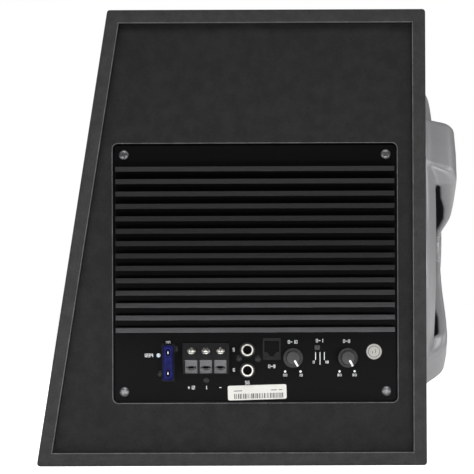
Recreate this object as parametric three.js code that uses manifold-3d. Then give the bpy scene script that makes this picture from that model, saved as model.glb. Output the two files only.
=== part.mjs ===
// A powered car subwoofer: a carpeted wedge cabinet with a woofer behind a four-armed guard on
// its front, and a class D amplifier with a finned plate let into one side.
// Millimetres, +Z up, +X towards the woofer, -Y towards the amplifier's side.
// The origin is on the floor, under the middle of the cabinet's base.

import * as THREE from "three";
import { mergeVertices } from "three/addons/utils/BufferGeometryUtils.js";
import Module from "manifold-3d";

const wasm = await Module();
wasm.setup();

// ---------------------------------------------------------------- driving dimensions

// Cabinet, measured over the carpet.
const CABINET_HEIGHT = 380;
const CABINET_WIDTH = 380;
const BASE_DEPTH = 325;
const TOP_DEPTH = 265;
const BOARD = 9;
const CARPET = 1.5;
const SIDE_RECESS = 6; // the side panels sit this far inside the rim
const GLUE_LINE = 0.3; // between pieces that are glued or screwed face to face
const MITRE_GAP = 0.2;
const PANEL_CLEARANCE = 0.5; // round each side panel, inside the rim

// Woofer: heights are measured out of the baffle board's face.
const CUTOUT_RADIUS = 116;
const FLANGE_WIDTH = 15;
const FLANGE_THICK = 4;
const BASKET_WALL = 3;
const BASKET_CLEARANCE = 2; // round the basket in the baffle's cut-out
const SPIDER_DEPTH = 64;
const BASKET_DEPTH = 83;
const MOTOR_RADIUS = 68;
const TOP_PLATE_THICK = 8;
const MAGNET_THICK = 22;
const BACK_PLATE_THICK = 8;
const POLE_RADIUS = 24.5;
const FORMER_WALL = 1.2;
const POLE_CLEARANCE = 0.5;
const CONE_WALL = 1.2;
const SURROUND_WIDTH = 16;
const SURROUND_ROLL = 8;
const DUST_CAP_RADIUS = 38;
const DUST_CAP_RISE = 14;
const RUBBER_GASKET = 2;

// Guard: heights are measured out of the carpet's face.
const RING_FOOT = 7;
const RING_HEIGHT = 10;
const HUB_RADIUS = 36;
const HUB_HEIGHT = 22;
const HUB_THICK = 4;
const BADGE_THICK = 1.5;
const UPPER_ARM = { elevation: 35, shoulder: 31, ringWidth: 46, hubWidth: 30 };
const LOWER_ARM = { elevation: -60, shoulder: 26, ringWidth: 46, hubWidth: 30 };

// Amplifier plate: its outer face is level with the side board.
const AMP_WIDTH = 235;
const AMP_HEIGHT = 214;
const AMP_FROM_FRONT = 25; // from the cabinet's front to the plate's edge
const AMP_FROM_FLOOR = 53.5;
const AMP_PLATE = 3;
const AMP_GASKET = 1;
const AMP_EDGE_GAP = 1.2; // round the plate, to the cut edge of the carpet
const AMP_FLANGE = 13; // the plate's overlap on the side board
const FIN_COUNT = 14;
const FIN_PITCH = 10.32;
const FIN_THICK = 4.1;
const FIN_HEIGHT = 7;
const FIN_INSET = 1;
const TOP_BAND = 18; // plain plate above the first fin
const COVER_DEPTH = 48;
const COVER_WALL = 1.2;

// Controls, seen from outside. Heights are from the plate's bottom edge to a control's middle.
const FIT = 0.3; // clearance round each control in its hole
const KNOB = { skirt: 8.3, cap: 6.25, base: 1.3, skirtHeight: 2, height: 13, shaft: 3 };
const POT_BODY = 16;
const RCA = { inner: 3.5, outer: 5.15, height: 9, depth: 9 };
const LINK = { width: 15, height: 18.3, mouth: 12.3, depth: 12 };
const SWITCH = { slot: 11.9, height: 5.3, slider: 4.4 };
const FUSE = { width: 8.5, length: 29, head: 10, stand: 3, blade: 12 };
const LED_RADIUS = 1.8;
const TERMINAL = { pitch: 12.1, poles: 3, width: 39, height: 26, base: 2, pocket: 8, depth: 12 };
// The row of controls, left to right: each one's height, its width, and the gap before it. The
// gaps are parts: they share out the plate's width that the controls leave.
const ROW = {
  led: { height: 38.5, width: 2 * LED_RADIUS, gap: 34.9 },
  fuse: { height: 32.5, width: FUSE.width + 2.4, gap: 0.85 },
  terminals: { height: 35.8, width: TERMINAL.width, gap: 6.45 },
  rca: { height: 34.4, width: 12.8, gap: 8.7 },
  link: { height: 43.6, width: LINK.width, gap: 6.4 },
  level: { height: 36, width: 2 * KNOB.skirt, gap: 2 },
  phase: { height: 44.5, width: SWITCH.slot + 3, gap: 7.15 },
  frequency: { height: 36, width: 2 * KNOB.skirt, gap: 7.05 },
};
const ROW_END_GAP = 32.1;
const RCA_PITCH = 17;
const SCREW = { head: 4.3, headHeight: 2.6, shank: 2, length: 14 };
const SCREW_INSET = 8.2;

// ---------------------------------------------------------------- shapes

const ROUND = 36; // facets round the woofer and guard
const SMALL_ROUND = 16; // facets round screws, knobs and sockets

/** A solid for joining and cutting, from a closed geometry. */
function solid(geometry) {
  const bare = geometry.clone();
  bare.deleteAttribute("normal");
  bare.deleteAttribute("uv");
  const merged = mergeVertices(bare, 1e-4);
  const corners = merged.index.array;
  const kept = [];
  for (let i = 0; i < corners.length; i += 3) {
    const [a, b, c] = corners.slice(i, i + 3);
    if (a !== b && b !== c && a !== c) kept.push(a, b, c);
  }
  return new wasm.Manifold(
    new wasm.Mesh({
      numProp: 3,
      vertProperties: merged.attributes.position.array,
      triVerts: new Uint32Array(kept),
    }),
  );
}

/** The geometry of a joined or cut solid. */
function geometryOf(made) {
  const { vertProperties, triVerts } = made.getMesh();
  const geometry = new THREE.BufferGeometry();
  geometry.setAttribute("position", new THREE.BufferAttribute(vertProperties, 3));
  geometry.setIndex(new THREE.BufferAttribute(triVerts, 1));
  geometry.computeVertexNormals();
  return geometry;
}

const join = (...pieces) =>
  geometryOf(pieces.map(solid).reduce((all, piece) => all.add(piece)));
const cut = (piece, ...tools) =>
  geometryOf(tools.map(solid).reduce((left, tool) => left.subtract(tool), solid(piece)));
const common = (a, b) => geometryOf(solid(a).intersect(solid(b)));

/** A box that stands on z = 0, centred on x and y. */
const box = (x, y, z) => new THREE.BoxGeometry(x, y, z).translate(0, 0, z / 2);

/** A round bar along z that stands on z = 0. */
const rod = (radius, length, facets = SMALL_ROUND) =>
  new THREE.CylinderGeometry(radius, radius, length, facets)
    .rotateX(Math.PI / 2)
    .translate(0, 0, length / 2);

/** A flat outline of [x, y] points carried from z = 0 to the given height. */
const prism = (points, height) =>
  new THREE.ExtrudeGeometry(new THREE.Shape(points.map(([x, y]) => new THREE.Vector2(x, y))), {
    depth: height,
    bevelEnabled: false,
  });

/** A plate with round corners, centred on x and y, from z = 0 to its thickness. */
function roundedPlate(width, height, radius, thick) {
  const [x, y] = [width / 2 - radius, height / 2 - radius];
  const shape = new THREE.Shape();
  shape.absarc(x, y, radius, 0, Math.PI / 2);
  shape.absarc(-x, y, radius, Math.PI / 2, Math.PI);
  shape.absarc(-x, -y, radius, Math.PI, 1.5 * Math.PI);
  shape.absarc(x, -y, radius, 1.5 * Math.PI, 2 * Math.PI);
  return new THREE.ExtrudeGeometry(shape, { depth: thick, bevelEnabled: false, curveSegments: 4 });
}

/** A profile of [radius, z] points turned about z. It ends on the axis, or it is closed. */
function turned(profile, facets = ROUND) {
  const points = profile.map(([r, z]) => new THREE.Vector2(r, z));
  const onAxis = points[0].x === 0 && points.at(-1).x === 0;
  if (THREE.ShapeUtils.isClockWise(points)) points.reverse();
  if (!onAxis) points.push(points[0].clone());
  return new THREE.LatheGeometry(points, facets).rotateX(Math.PI / 2);
}

/** A flat ring between two radii and two heights. */
const ring = (inner, outer, low, high, facets = ROUND) =>
  turned([[inner, low], [outer, low], [outer, high], [inner, high]], facets);

/** A cross-head screw: its head stands on z = 0 and its shank goes down. */
function crossHeadScrew(head, headHeight, shank, length) {
  const bevel = headHeight * 0.4;
  const body = turned(
    [[0, -length], [shank, -length], [shank, 0], [head, 0], [head, headHeight - bevel],
      [head - bevel, headHeight], [0, headHeight]],
    SMALL_ROUND,
  );
  const slot = [head * 1.15, head * 0.28, headHeight];
  const depth = headHeight * 0.45;
  return cut(
    body,
    box(slot[0], slot[1], slot[2]).translate(0, 0, depth),
    box(slot[1], slot[0], slot[2]).translate(0, 0, depth),
  );
}

// ---------------------------------------------------------------- materials

const finish = (color, roughness, metalness = 0) =>
  new THREE.MeshStandardMaterial({ color, roughness, metalness });
const FINISH = {
  carpet: () => finish("#35353a", 1),
  board: () => finish("#b08d5f", 0.8),
  blackAluminium: () => finish("#1d1d1f", 0.4, 0.9),
  steel: () => finish("#b9babc", 0.35, 1),
  blackSteel: () => finish("#1b1b1d", 0.5, 0.6),
  ferrite: () => finish("#3a3a3c", 0.7),
  pulp: () => finish("#2a2a2c", 0.8),
  rubber: () => finish("#18181a", 0.85),
  cloth: () => finish("#b0702c", 0.9),
  silverPlastic: () => finish("#a6a6a8", 0.4, 0.3),
  blackPlastic: () => finish("#161618", 0.5),
  bluePlastic: () => finish("#2236a8", 0.25),
  nickel: () => finish("#c9c6bd", 0.25, 1),
  circuit: () => finish("#1f5a34", 0.5),
  copper: () => finish("#a4602f", 0.4, 0.8),
  lens: () => finish("#f4f6fa", 0.2),
};

const subwoofer = new THREE.Group();

/** Adds one named piece to a group. */
function add(group, name, geometry, material, place = [0, 0, 0]) {
  const mesh = new THREE.Mesh(geometry, material());
  mesh.name = name;
  mesh.position.set(...place);
  group.add(mesh);
  return mesh;
}

// ---------------------------------------------------------------- cabinet shell

// The shell's group lies on its side: its x is the depth, its y the height, and its z runs
// across the cabinet towards the amplifier's side.
const shell = new THREE.Group();
shell.rotation.x = Math.PI / 2;
subwoofer.add(shell);

const FRONT = BASE_DEPTH / 2;
const OUTLINE = [
  [FRONT - BASE_DEPTH, 0],
  [FRONT, 0],
  [FRONT, CABINET_HEIGHT],
  [FRONT - TOP_DEPTH, CABINET_HEIGHT],
];
const SIDES = ["bottom", "front", "top", "rear"];
const RIM = CARPET + GLUE_LINE + BOARD;

/** The direction of an outline's edge i, as a unit vector. */
function edgeOf(outline, i) {
  const count = outline.length;
  const from = new THREE.Vector2(...outline[(i + count) % count]);
  return new THREE.Vector2(...outline[(i + 1 + count) % count]).sub(from).normalize();
}

/** A convex outline moved inwards by a distance. */
function inset(outline, distance) {
  return outline.map(([x, y], i) => {
    const before = edgeOf(outline, i - 1);
    const after = edgeOf(outline, i);
    const inwards = new THREE.Vector2(-before.y - after.y, before.x + after.x);
    const share = distance / (1 + before.dot(after));
    return [x + inwards.x * share, y + inwards.y * share];
  });
}

/** The mitred strip along edge i, between two depths below the outline. */
function strip(i, outside, inside, width) {
  const outer = inset(OUTLINE, outside);
  const inner = inset(OUTLINE, inside);
  const next = (i + 1) % OUTLINE.length;
  const step = edgeOf(OUTLINE, i).multiplyScalar(MITRE_GAP);
  const corners = [
    [outer[i][0] + step.x, outer[i][1] + step.y],
    [outer[next][0] - step.x, outer[next][1] - step.y],
    [inner[next][0] - step.x, inner[next][1] - step.y],
    [inner[i][0] + step.x, inner[i][1] + step.y],
  ];
  return prism(corners, width);
}

const wooferHeight = CABINET_HEIGHT / 2;
const flangeRadius = CUTOUT_RADIUS + FLANGE_WIDTH;
const ringRadius = flangeRadius + GLUE_LINE + 1.5 + RING_FOOT;
const guardScrewRadius = CUTOUT_RADIUS + FLANGE_WIDTH * 0.6;
const GUARD_SCREW = { head: 4, headHeight: 2.4, shank: 2, length: 12 };
const screwAngles = [0, 90, 180, 270].map((degrees) => THREE.MathUtils.degToRad(degrees));

/** Bars along the shell's x, at the guard screws' places on the baffle. */
const baffleBars = (radius) =>
  screwAngles.map((angle) =>
    rod(radius, BASE_DEPTH)
      .rotateY(Math.PI / 2)
      .translate(
        0,
        wooferHeight + guardScrewRadius * Math.sin(angle),
        guardScrewRadius * Math.cos(angle),
      ),
  );
/** A bar along the shell's x through the woofer's centre. */
const wooferBar = (radius) =>
  rod(radius, BASE_DEPTH, ROUND).rotateY(Math.PI / 2).translate(0, wooferHeight, 0);

SIDES.forEach((side, i) => {
  const boardWidth = CABINET_WIDTH - 2 * (CARPET + GLUE_LINE);
  let board = strip(i, CARPET + GLUE_LINE, RIM, boardWidth).translate(0, 0, -boardWidth / 2);
  const face = strip(i, 0, CARPET, CABINET_WIDTH).translate(0, 0, -CABINET_WIDTH / 2);
  const nearFold = strip(i, 0, RIM, CARPET).translate(0, 0, CABINET_WIDTH / 2 - CARPET);
  const farFold = strip(i, 0, RIM, CARPET).translate(0, 0, -CABINET_WIDTH / 2);
  let carpet = join(face, nearFold, farFold);
  if (side === "front") {
    board = cut(board, wooferBar(CUTOUT_RADIUS), ...baffleBars(GUARD_SCREW.shank + FIT));
    carpet = cut(carpet, wooferBar(flangeRadius + 1));
  }
  add(shell, side === "front" ? "front_baffle" : side + "_panel", board, FINISH.board);
  add(shell, "carpet_" + side, carpet, FINISH.carpet);
});

// ---------------------------------------------------------------- side panels

const panelOutline = inset(OUTLINE, RIM + PANEL_CLEARANCE);
const sideFace = CABINET_WIDTH / 2 - SIDE_RECESS; // the side carpet's outer face
const boardFace = sideFace - CARPET - GLUE_LINE;
const ampX = FRONT - AMP_FROM_FRONT - AMP_WIDTH / 2;
const ampY = AMP_FROM_FLOOR + AMP_HEIGHT / 2;
const rebateDepth = AMP_PLATE + AMP_GASKET + 2 * GLUE_LINE;
const bodyWidth = AMP_WIDTH - 2 * AMP_FLANGE;
const bodyHeight = AMP_HEIGHT - 2 * AMP_FLANGE;
const cornerPlaces = [[-1, 1], [1, 1], [-1, -1], [1, -1]].map(([across, up]) => [
  across * (AMP_WIDTH / 2 - SCREW_INSET),
  up * (AMP_HEIGHT / 2 - SCREW_INSET),
]);
const cornerHoles = (low, high) =>
  cornerPlaces.map(([x, y]) => rod(SCREW.shank + FIT, high - low).translate(x, y, low));
const aroundPlate = (gap, thick) =>
  roundedPlate(AMP_WIDTH + 2 * gap, AMP_HEIGHT + 2 * gap, 3 + gap, thick);

const ampPanel = cut(
  prism(panelOutline, BOARD).translate(0, 0, boardFace - BOARD),
  aroundPlate(AMP_EDGE_GAP, BOARD).translate(ampX, ampY, boardFace - rebateDepth),
  box(bodyWidth, bodyHeight, 3 * BOARD).translate(ampX, ampY, boardFace - 2 * BOARD),
  ...cornerHoles(-2 * BOARD, 1).map((hole) => hole.translate(ampX, ampY, boardFace)),
);
add(shell, "amp_side_panel", ampPanel, FINISH.board);
add(shell, "far_side_panel", prism(panelOutline, BOARD).translate(0, 0, -boardFace), FINISH.board);

const ampCarpet = cut(
  prism(panelOutline, CARPET).translate(0, 0, sideFace - CARPET),
  aroundPlate(AMP_EDGE_GAP, 3 * CARPET).translate(ampX, ampY, sideFace - 2 * CARPET),
);
add(shell, "carpet_amp_side", ampCarpet, FINISH.carpet);
add(shell, "carpet_far_side", prism(panelOutline, CARPET).translate(0, 0, -sideFace), FINISH.carpet);

// ---------------------------------------------------------------- woofer

// The woofer's group looks out of the baffle: its z runs forwards from the baffle board's face,
// its x down the cabinet and its y across it.
const woofer = new THREE.Group();
woofer.position.set(FRONT - CARPET - GLUE_LINE, 0, wooferHeight);
woofer.rotation.y = Math.PI / 2;
subwoofer.add(woofer);

const basketRadius = CUTOUT_RADIUS - BASKET_CLEARANCE;
const SPIDER_SHELF = 9; // the width of the shelf that the spider is glued to
const MOTOR_LEDGE = 2;
const POLE_HOLE = 8; // round the pole, through the basket's back
const seatRadius = MOTOR_RADIUS - MOTOR_LEDGE;
const shelfRadius = seatRadius + SPIDER_SHELF;
const inside = (radius) => radius - BASKET_WALL;
const basketShape = turned([
  [flangeRadius, GLUE_LINE],
  [flangeRadius, FLANGE_THICK],
  [inside(basketRadius), FLANGE_THICK],
  [inside(basketRadius), -SPIDER_DEPTH / 2],
  [shelfRadius, -SPIDER_DEPTH + BASKET_WALL],
  [shelfRadius, -SPIDER_DEPTH],
  [inside(seatRadius), -SPIDER_DEPTH],
  [inside(seatRadius), -BASKET_DEPTH + BASKET_WALL],
  [POLE_RADIUS + POLE_HOLE, -BASKET_DEPTH + BASKET_WALL],
  [POLE_RADIUS + POLE_HOLE, -BASKET_DEPTH],
  [seatRadius, -BASKET_DEPTH],
  [seatRadius, -SPIDER_DEPTH - BASKET_WALL],
  [shelfRadius + BASKET_WALL, -SPIDER_DEPTH - BASKET_WALL],
  [basketRadius, -SPIDER_DEPTH / 2 - BASKET_WALL],
  [basketRadius, GLUE_LINE],
]);
const BASKET_WINDOWS = 6;
const windows = Array.from({ length: BASKET_WINDOWS }, (_, i) =>
  box(2 * CUTOUT_RADIUS, CUTOUT_RADIUS * 0.62, SPIDER_DEPTH * 0.62)
    .translate(CUTOUT_RADIUS * 1.25, 0, -SPIDER_DEPTH * 0.86)
    .rotateZ((i * 2 * Math.PI) / BASKET_WINDOWS),
);
const flangeHoles = (radius, low, high) =>
  screwAngles.map((angle) =>
    rod(radius, high - low).translate(
      guardScrewRadius * Math.sin(angle),
      guardScrewRadius * Math.cos(angle),
      low,
    ),
  );
const shankHoles = flangeHoles(GUARD_SCREW.shank + FIT, -BOARD, 4 * RING_HEIGHT);
add(woofer, "basket", cut(basketShape, ...windows, ...shankHoles), FINISH.blackSteel);

const PLATE_STEP = 8; // the plates are narrower than the magnet by this
const COIL_OVERHANG = 7; // of the coil below the top plate
const NECK_HEIGHT = 10; // of the cone's neck above the spider
const motorTop = -BASKET_DEPTH - GLUE_LINE;
const magnetTop = motorTop - TOP_PLATE_THICK - GLUE_LINE;
const backTop = magnetTop - MAGNET_THICK - GLUE_LINE;
const formerInner = POLE_RADIUS + POLE_CLEARANCE;
const formerOuter = formerInner + FORMER_WALL;
add(
  woofer,
  "top_plate",
  ring(formerOuter + POLE_CLEARANCE + FIT, MOTOR_RADIUS - PLATE_STEP, motorTop - TOP_PLATE_THICK, motorTop),
  FINISH.steel,
);
add(
  woofer,
  "magnet",
  ring(formerOuter + 6, MOTOR_RADIUS, magnetTop - MAGNET_THICK, magnetTop),
  FINISH.ferrite,
);
add(
  woofer,
  "pole_and_back_plate",
  turned([
    [0, backTop - BACK_PLATE_THICK],
    [MOTOR_RADIUS - PLATE_STEP, backTop - BACK_PLATE_THICK],
    [MOTOR_RADIUS - PLATE_STEP, backTop],
    [POLE_RADIUS, backTop],
    [POLE_RADIUS, -BASKET_DEPTH],
    [0, -BASKET_DEPTH],
  ]),
  FINISH.steel,
);

const neckZ = -SPIDER_DEPTH + NECK_HEIGHT;
const coilLow = motorTop - TOP_PLATE_THICK - COIL_OVERHANG;
add(woofer, "voice_coil", ring(formerInner, formerOuter, coilLow, neckZ), FINISH.copper);

const coneNeck = formerOuter + FIT;
const coneRadius = inside(basketRadius) - SURROUND_WIDTH;
const coneRim = FLANGE_THICK - 1;
const CONE_LAP = 3; // the surround's glued lap on the cone
const CONE_EDGE = 4; // the cone's flat rim
const NECK_LENGTH = 3;
add(
  woofer,
  "cone",
  turned([
    [coneNeck, neckZ],
    [coneNeck, neckZ - NECK_LENGTH],
    [coneNeck + CONE_WALL, neckZ - NECK_LENGTH],
    [coneNeck + CONE_WALL * 1.6, neckZ],
    [coneRadius - CONE_LAP, coneRim - CONE_WALL],
    [coneRadius, coneRim - CONE_WALL],
    [coneRadius, coneRim],
    [coneRadius - CONE_EDGE, coneRim],
  ]),
  FINISH.pulp,
);

const coneSlope = (coneRim - neckZ) / (coneRadius - CONE_EDGE - coneNeck);
const capZ = neckZ + (DUST_CAP_RADIUS - coneNeck) * coneSlope + FIT;
const CAP_STEPS = 4;
const capArc = (rise, radius) =>
  Array.from({ length: CAP_STEPS + 1 }, (_, i) => {
    const angle = (i / CAP_STEPS) * (Math.PI / 2);
    return [i === CAP_STEPS ? 0 : radius * Math.cos(angle), capZ + rise * Math.sin(angle)];
  });
add(
  woofer,
  "dust_cap",
  turned([
    ...capArc(DUST_CAP_RISE, DUST_CAP_RADIUS),
    ...capArc(DUST_CAP_RISE - CONE_WALL, DUST_CAP_RADIUS - 1.5 * CONE_WALL).reverse(),
  ]),
  FINISH.pulp,
);

const rollSteps = 6;
const rollMiddle = coneRadius + SURROUND_WIDTH / 2;
const rollArc = (width, height, base) =>
  Array.from({ length: rollSteps + 1 }, (_, i) => {
    const angle = Math.PI - (i / rollSteps) * Math.PI;
    return [rollMiddle + width * Math.cos(angle), base + height * Math.sin(angle)];
  });
const surroundBase = FLANGE_THICK + FIT;
const surroundEdge = basketRadius + 2;
const SURROUND_SKIN = 1;
add(
  woofer,
  "surround",
  turned([
    [coneRadius - CONE_LAP, surroundBase],
    [coneRadius - CONE_LAP, surroundBase + SURROUND_SKIN],
    ...rollArc(SURROUND_WIDTH / 2, SURROUND_ROLL, surroundBase + SURROUND_SKIN),
    [surroundEdge, surroundBase + SURROUND_SKIN],
    [surroundEdge, surroundBase],
    ...rollArc(
      SURROUND_WIDTH / 2 - SURROUND_SKIN,
      SURROUND_ROLL - SURROUND_SKIN,
      surroundBase,
    ).reverse(),
  ]),
  FINISH.rubber,
);

const SPIDER_FOLDS = 8;
const SPIDER_FOLD = 2.4; // half the height of a fold
const SPIDER_CLOTH = 0.8;
/** The spider's folds from the coil to the shelf, ending flat on the shelf. */
const spiderEdge = (lift) => [
  ...Array.from({ length: SPIDER_FOLDS + 1 }, (_, i) => [
    THREE.MathUtils.lerp(coneNeck, inside(seatRadius) - 1, i / SPIDER_FOLDS),
    lift + (i % 2 ? SPIDER_FOLD : 0),
  ]),
  [seatRadius + 5, lift],
];
const shelfTop = FIT - SPIDER_DEPTH;
add(
  woofer,
  "spider",
  turned([...spiderEdge(shelfTop), ...spiderEdge(shelfTop + SPIDER_CLOTH).reverse()]),
  FINISH.cloth,
);

add(
  woofer,
  "woofer_gasket",
  cut(
    ring(surroundEdge + FIT, flangeRadius, surroundBase, surroundBase + RUBBER_GASKET),
    ...shankHoles,
  ),
  FINISH.rubber,
);

const TAG = { width: 16, thick: 7, height: 10 };
add(
  woofer,
  "woofer_terminal",
  box(TAG.thick, TAG.width, TAG.height),
  FINISH.blackPlastic,
  [-(seatRadius + TAG.thick / 2 + 1), 0, -BASKET_DEPTH + 2],
);

// ---------------------------------------------------------------- guard

const guardFoot = CARPET + 2 * GLUE_LINE; // just clear of the carpet
const overGasket = surroundBase + RUBBER_GASKET + GLUE_LINE;
const carpetFace = CARPET + GLUE_LINE;
const ringTop = carpetFace + RING_HEIGHT;
const ringInner = basketRadius + 3;
const guardRing = turned([
  [ringInner, overGasket],
  [flangeRadius + 1, overGasket],
  [flangeRadius + 1.5, guardFoot],
  [ringRadius, guardFoot],
  [ringRadius, carpetFace + RING_HEIGHT * 0.45],
  [ringRadius - RING_FOOT, ringTop],
  [ringInner + 3, ringTop],
  [ringInner, ringTop - 2],
]);
const hubTop = carpetFace + HUB_HEIGHT;
const hub = rod(HUB_RADIUS, HUB_THICK, ROUND).translate(0, 0, hubTop - HUB_THICK);

/** An arm of the guard: it rises steeply from the ring to a shoulder and falls to the hub. */
function guardArm({ elevation, shoulder, ringWidth, hubWidth }, side) {
  const peak = carpetFace + shoulder;
  const profile = [
    [0, hubTop - HUB_THICK],
    [coneRadius + SURROUND_WIDTH + 2, hubTop - HUB_THICK],
    [ringInner + 1, overGasket + 3],
    [ringRadius - RING_FOOT, overGasket + 1],
    [ringRadius - 2, ringTop - 3],
    [ringRadius - RING_FOOT - 3, ringTop + 6],
    [ringRadius - RING_FOOT - 7, peak - 5],
    [ringRadius - RING_FOOT - 12, peak - 1],
    [ringRadius - RING_FOOT - 19, peak],
    [ringRadius - RING_FOOT - 30, peak - 1],
    [HUB_RADIUS, hubTop],
    [0, hubTop],
  ];
  const slab = prism(profile, ringWidth * 2).rotateX(Math.PI / 2).translate(0, ringWidth, 0);
  const plan = prism(
    [[1, -hubWidth / 2], [ringRadius, -ringWidth / 2], [ringRadius, ringWidth / 2], [1, hubWidth / 2]],
    2 * peak,
  );
  const turn = side * THREE.MathUtils.degToRad(90 + elevation);
  return common(slab, plan).rotateZ(turn);
}

const arms = [UPPER_ARM, LOWER_ARM].flatMap((arm) => [guardArm(arm, 1), guardArm(arm, -1)]);
const headRecess = GUARD_SCREW.headHeight + 0.6;
const guard = cut(
  join(guardRing, hub, ...arms),
  ...shankHoles,
  ...flangeHoles(GUARD_SCREW.head + FIT, ringTop - headRecess, 4 * RING_HEIGHT),
);
add(woofer, "guard", guard, FINISH.silverPlastic);
add(
  woofer,
  "guard_badge",
  rod(HUB_RADIUS * 0.66, BADGE_THICK, ROUND),
  FINISH.blackPlastic,
  [0, 0, hubTop + GLUE_LINE],
);
screwAngles.forEach((angle, i) => {
  add(
    woofer,
    "guard_screw_" + (i + 1),
    crossHeadScrew(GUARD_SCREW.head, GUARD_SCREW.headHeight, GUARD_SCREW.shank, GUARD_SCREW.length),
    FINISH.blackSteel,
    [
      guardScrewRadius * Math.sin(angle),
      guardScrewRadius * Math.cos(angle),
      ringTop - headRecess + GLUE_LINE,
    ],
  );
});

// ---------------------------------------------------------------- amplifier plate

// The amplifier's group faces outwards: its x runs to the front of the cabinet, its y up, and
// its z out of the plate's face.
const amp = new THREE.Group();
amp.position.set(ampX, ampY, boardFace);
shell.add(amp);

/** A control's place in the amplifier's group, from the plate's left and bottom edges. */
const at = ([across, up]) => [across - AMP_WIDTH / 2, up - AMP_HEIGHT / 2];

const row = Object.values(ROW);
const taken = row.reduce((sum, control) => sum + control.width, 0);
const parts = row.reduce((sum, control) => sum + control.gap, ROW_END_GAP);
const spread = (AMP_WIDTH - taken) / parts;
/** A control's middle, from the plate's left and bottom edges. */
const inRow = (control) => {
  const upTo = row.slice(0, row.indexOf(control) + 1);
  const edge = upTo.reduce((sum, each) => sum + each.gap * spread + each.width, 0);
  return [edge - control.width / 2, control.height];
};
const LED_AT = inRow(ROW.led);
const FUSE_AT = inRow(ROW.fuse);
const TERMINAL_AT = inRow(ROW.terminals);
const [rcaAcross, rcaMiddle] = inRow(ROW.rca);
const RCA_LEFT_AT = [rcaAcross, rcaMiddle + RCA_PITCH / 2];
const RCA_RIGHT_AT = [rcaAcross, rcaMiddle - RCA_PITCH / 2];
const LINK_AT = inRow(ROW.link);
const LEVEL_AT = inRow(ROW.level);
const SWITCH_AT = inRow(ROW.phase);
const FREQ_AT = inRow(ROW.frequency);

const plateBack = -AMP_PLATE;
const firstFin = AMP_HEIGHT / 2 - TOP_BAND - FIN_THICK / 2;
const fins = Array.from({ length: FIN_COUNT }, (_, i) =>
  box(AMP_WIDTH - 2 * FIN_INSET, FIN_THICK, FIN_HEIGHT + 1).translate(0, firstFin - i * FIN_PITCH, -1),
);

/** A cutter right through the plate at a control's place. */
const through = (place, width, height) =>
  box(width + 2 * FIT, height + 2 * FIT, 3 * AMP_PLATE).translate(...at(place), -2 * AMP_PLATE);
const throughRound = (place, radius) =>
  rod(radius + FIT, 3 * AMP_PLATE).translate(...at(place), -2 * AMP_PLATE);

const bushing = KNOB.shaft + 1.6;
const terminalBase = [TERMINAL.width - 3, TERMINAL.height - 4];
const fuseHolder = [FUSE.width + 2.4, FUSE.length + 2.4];
const plate = cut(
  join(aroundPlate(0, AMP_PLATE).translate(0, 0, plateBack), ...fins),
  ...cornerHoles(-2 * AMP_PLATE, AMP_PLATE),
  through(FUSE_AT, ...fuseHolder),
  through(TERMINAL_AT, ...terminalBase),
  through(LINK_AT, LINK.width, LINK.height),
  through(SWITCH_AT, SWITCH.slot, SWITCH.height),
  throughRound(RCA_LEFT_AT, RCA.outer),
  throughRound(RCA_RIGHT_AT, RCA.outer),
  throughRound(LEVEL_AT, bushing),
  throughRound(FREQ_AT, bushing),
  throughRound(LED_AT, LED_RADIUS),
);
add(amp, "amp_plate", plate, FINISH.blackAluminium);

const gasketTop = plateBack - GLUE_LINE;
add(
  amp,
  "amp_gasket",
  cut(
    aroundPlate(0, AMP_GASKET).translate(0, 0, gasketTop - AMP_GASKET),
    box(bodyWidth, bodyHeight, 4).translate(0, 0, gasketTop - 3),
    ...cornerHoles(-3 * AMP_PLATE, AMP_PLATE),
  ),
  FINISH.rubber,
);
cornerPlaces.forEach(([x, y], i) => {
  add(
    amp,
    "amp_screw_" + (i + 1),
    crossHeadScrew(SCREW.head, SCREW.headHeight, SCREW.shank, SCREW.length),
    FINISH.nickel,
    [x, y, GLUE_LINE],
  );
});

// ---------------------------------------------------------------- amplifier inside

const coverWidth = bodyWidth - 4;
const coverHeight = bodyHeight - 4;
add(
  amp,
  "amp_inner_cover",
  cut(
    box(coverWidth, coverHeight, COVER_DEPTH).translate(0, 0, gasketTop - COVER_DEPTH),
    box(coverWidth - 2 * COVER_WALL, coverHeight - 2 * COVER_WALL, COVER_DEPTH).translate(
      0,
      0,
      gasketTop - COVER_DEPTH + COVER_WALL,
    ),
  ),
  FINISH.blackSteel,
);
const BOARD_DEPTH = 19;
const CIRCUIT = 1.6;
const circuitTop = plateBack - BOARD_DEPTH;
const behindCircuit = circuitTop - CIRCUIT - FIT;
add(
  amp,
  "circuit_board",
  box(coverWidth - 4 * COVER_WALL, coverHeight - 4 * COVER_WALL, CIRCUIT),
  FINISH.circuit,
  [0, 0, circuitTop - CIRCUIT],
);
const TOROID = { inner: 9, outer: 22, height: 20, from: 60 };
add(
  amp,
  "power_toroid",
  ring(TOROID.inner, TOROID.outer, 0, TOROID.height, SMALL_ROUND),
  FINISH.copper,
  [TOROID.from - AMP_WIDTH / 2, 0, behindCircuit - TOROID.height],
);
const CAPACITOR = { radius: 9, length: 24, from: [104, 128] };
CAPACITOR.from.forEach((across, i) => {
  add(
    amp,
    "capacitor_" + (i + 1),
    rod(CAPACITOR.radius, CAPACITOR.length),
    FINISH.blackPlastic,
    [across - AMP_WIDTH / 2, 0, behindCircuit - CAPACITOR.length],
  );
});

// ---------------------------------------------------------------- fuse

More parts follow.
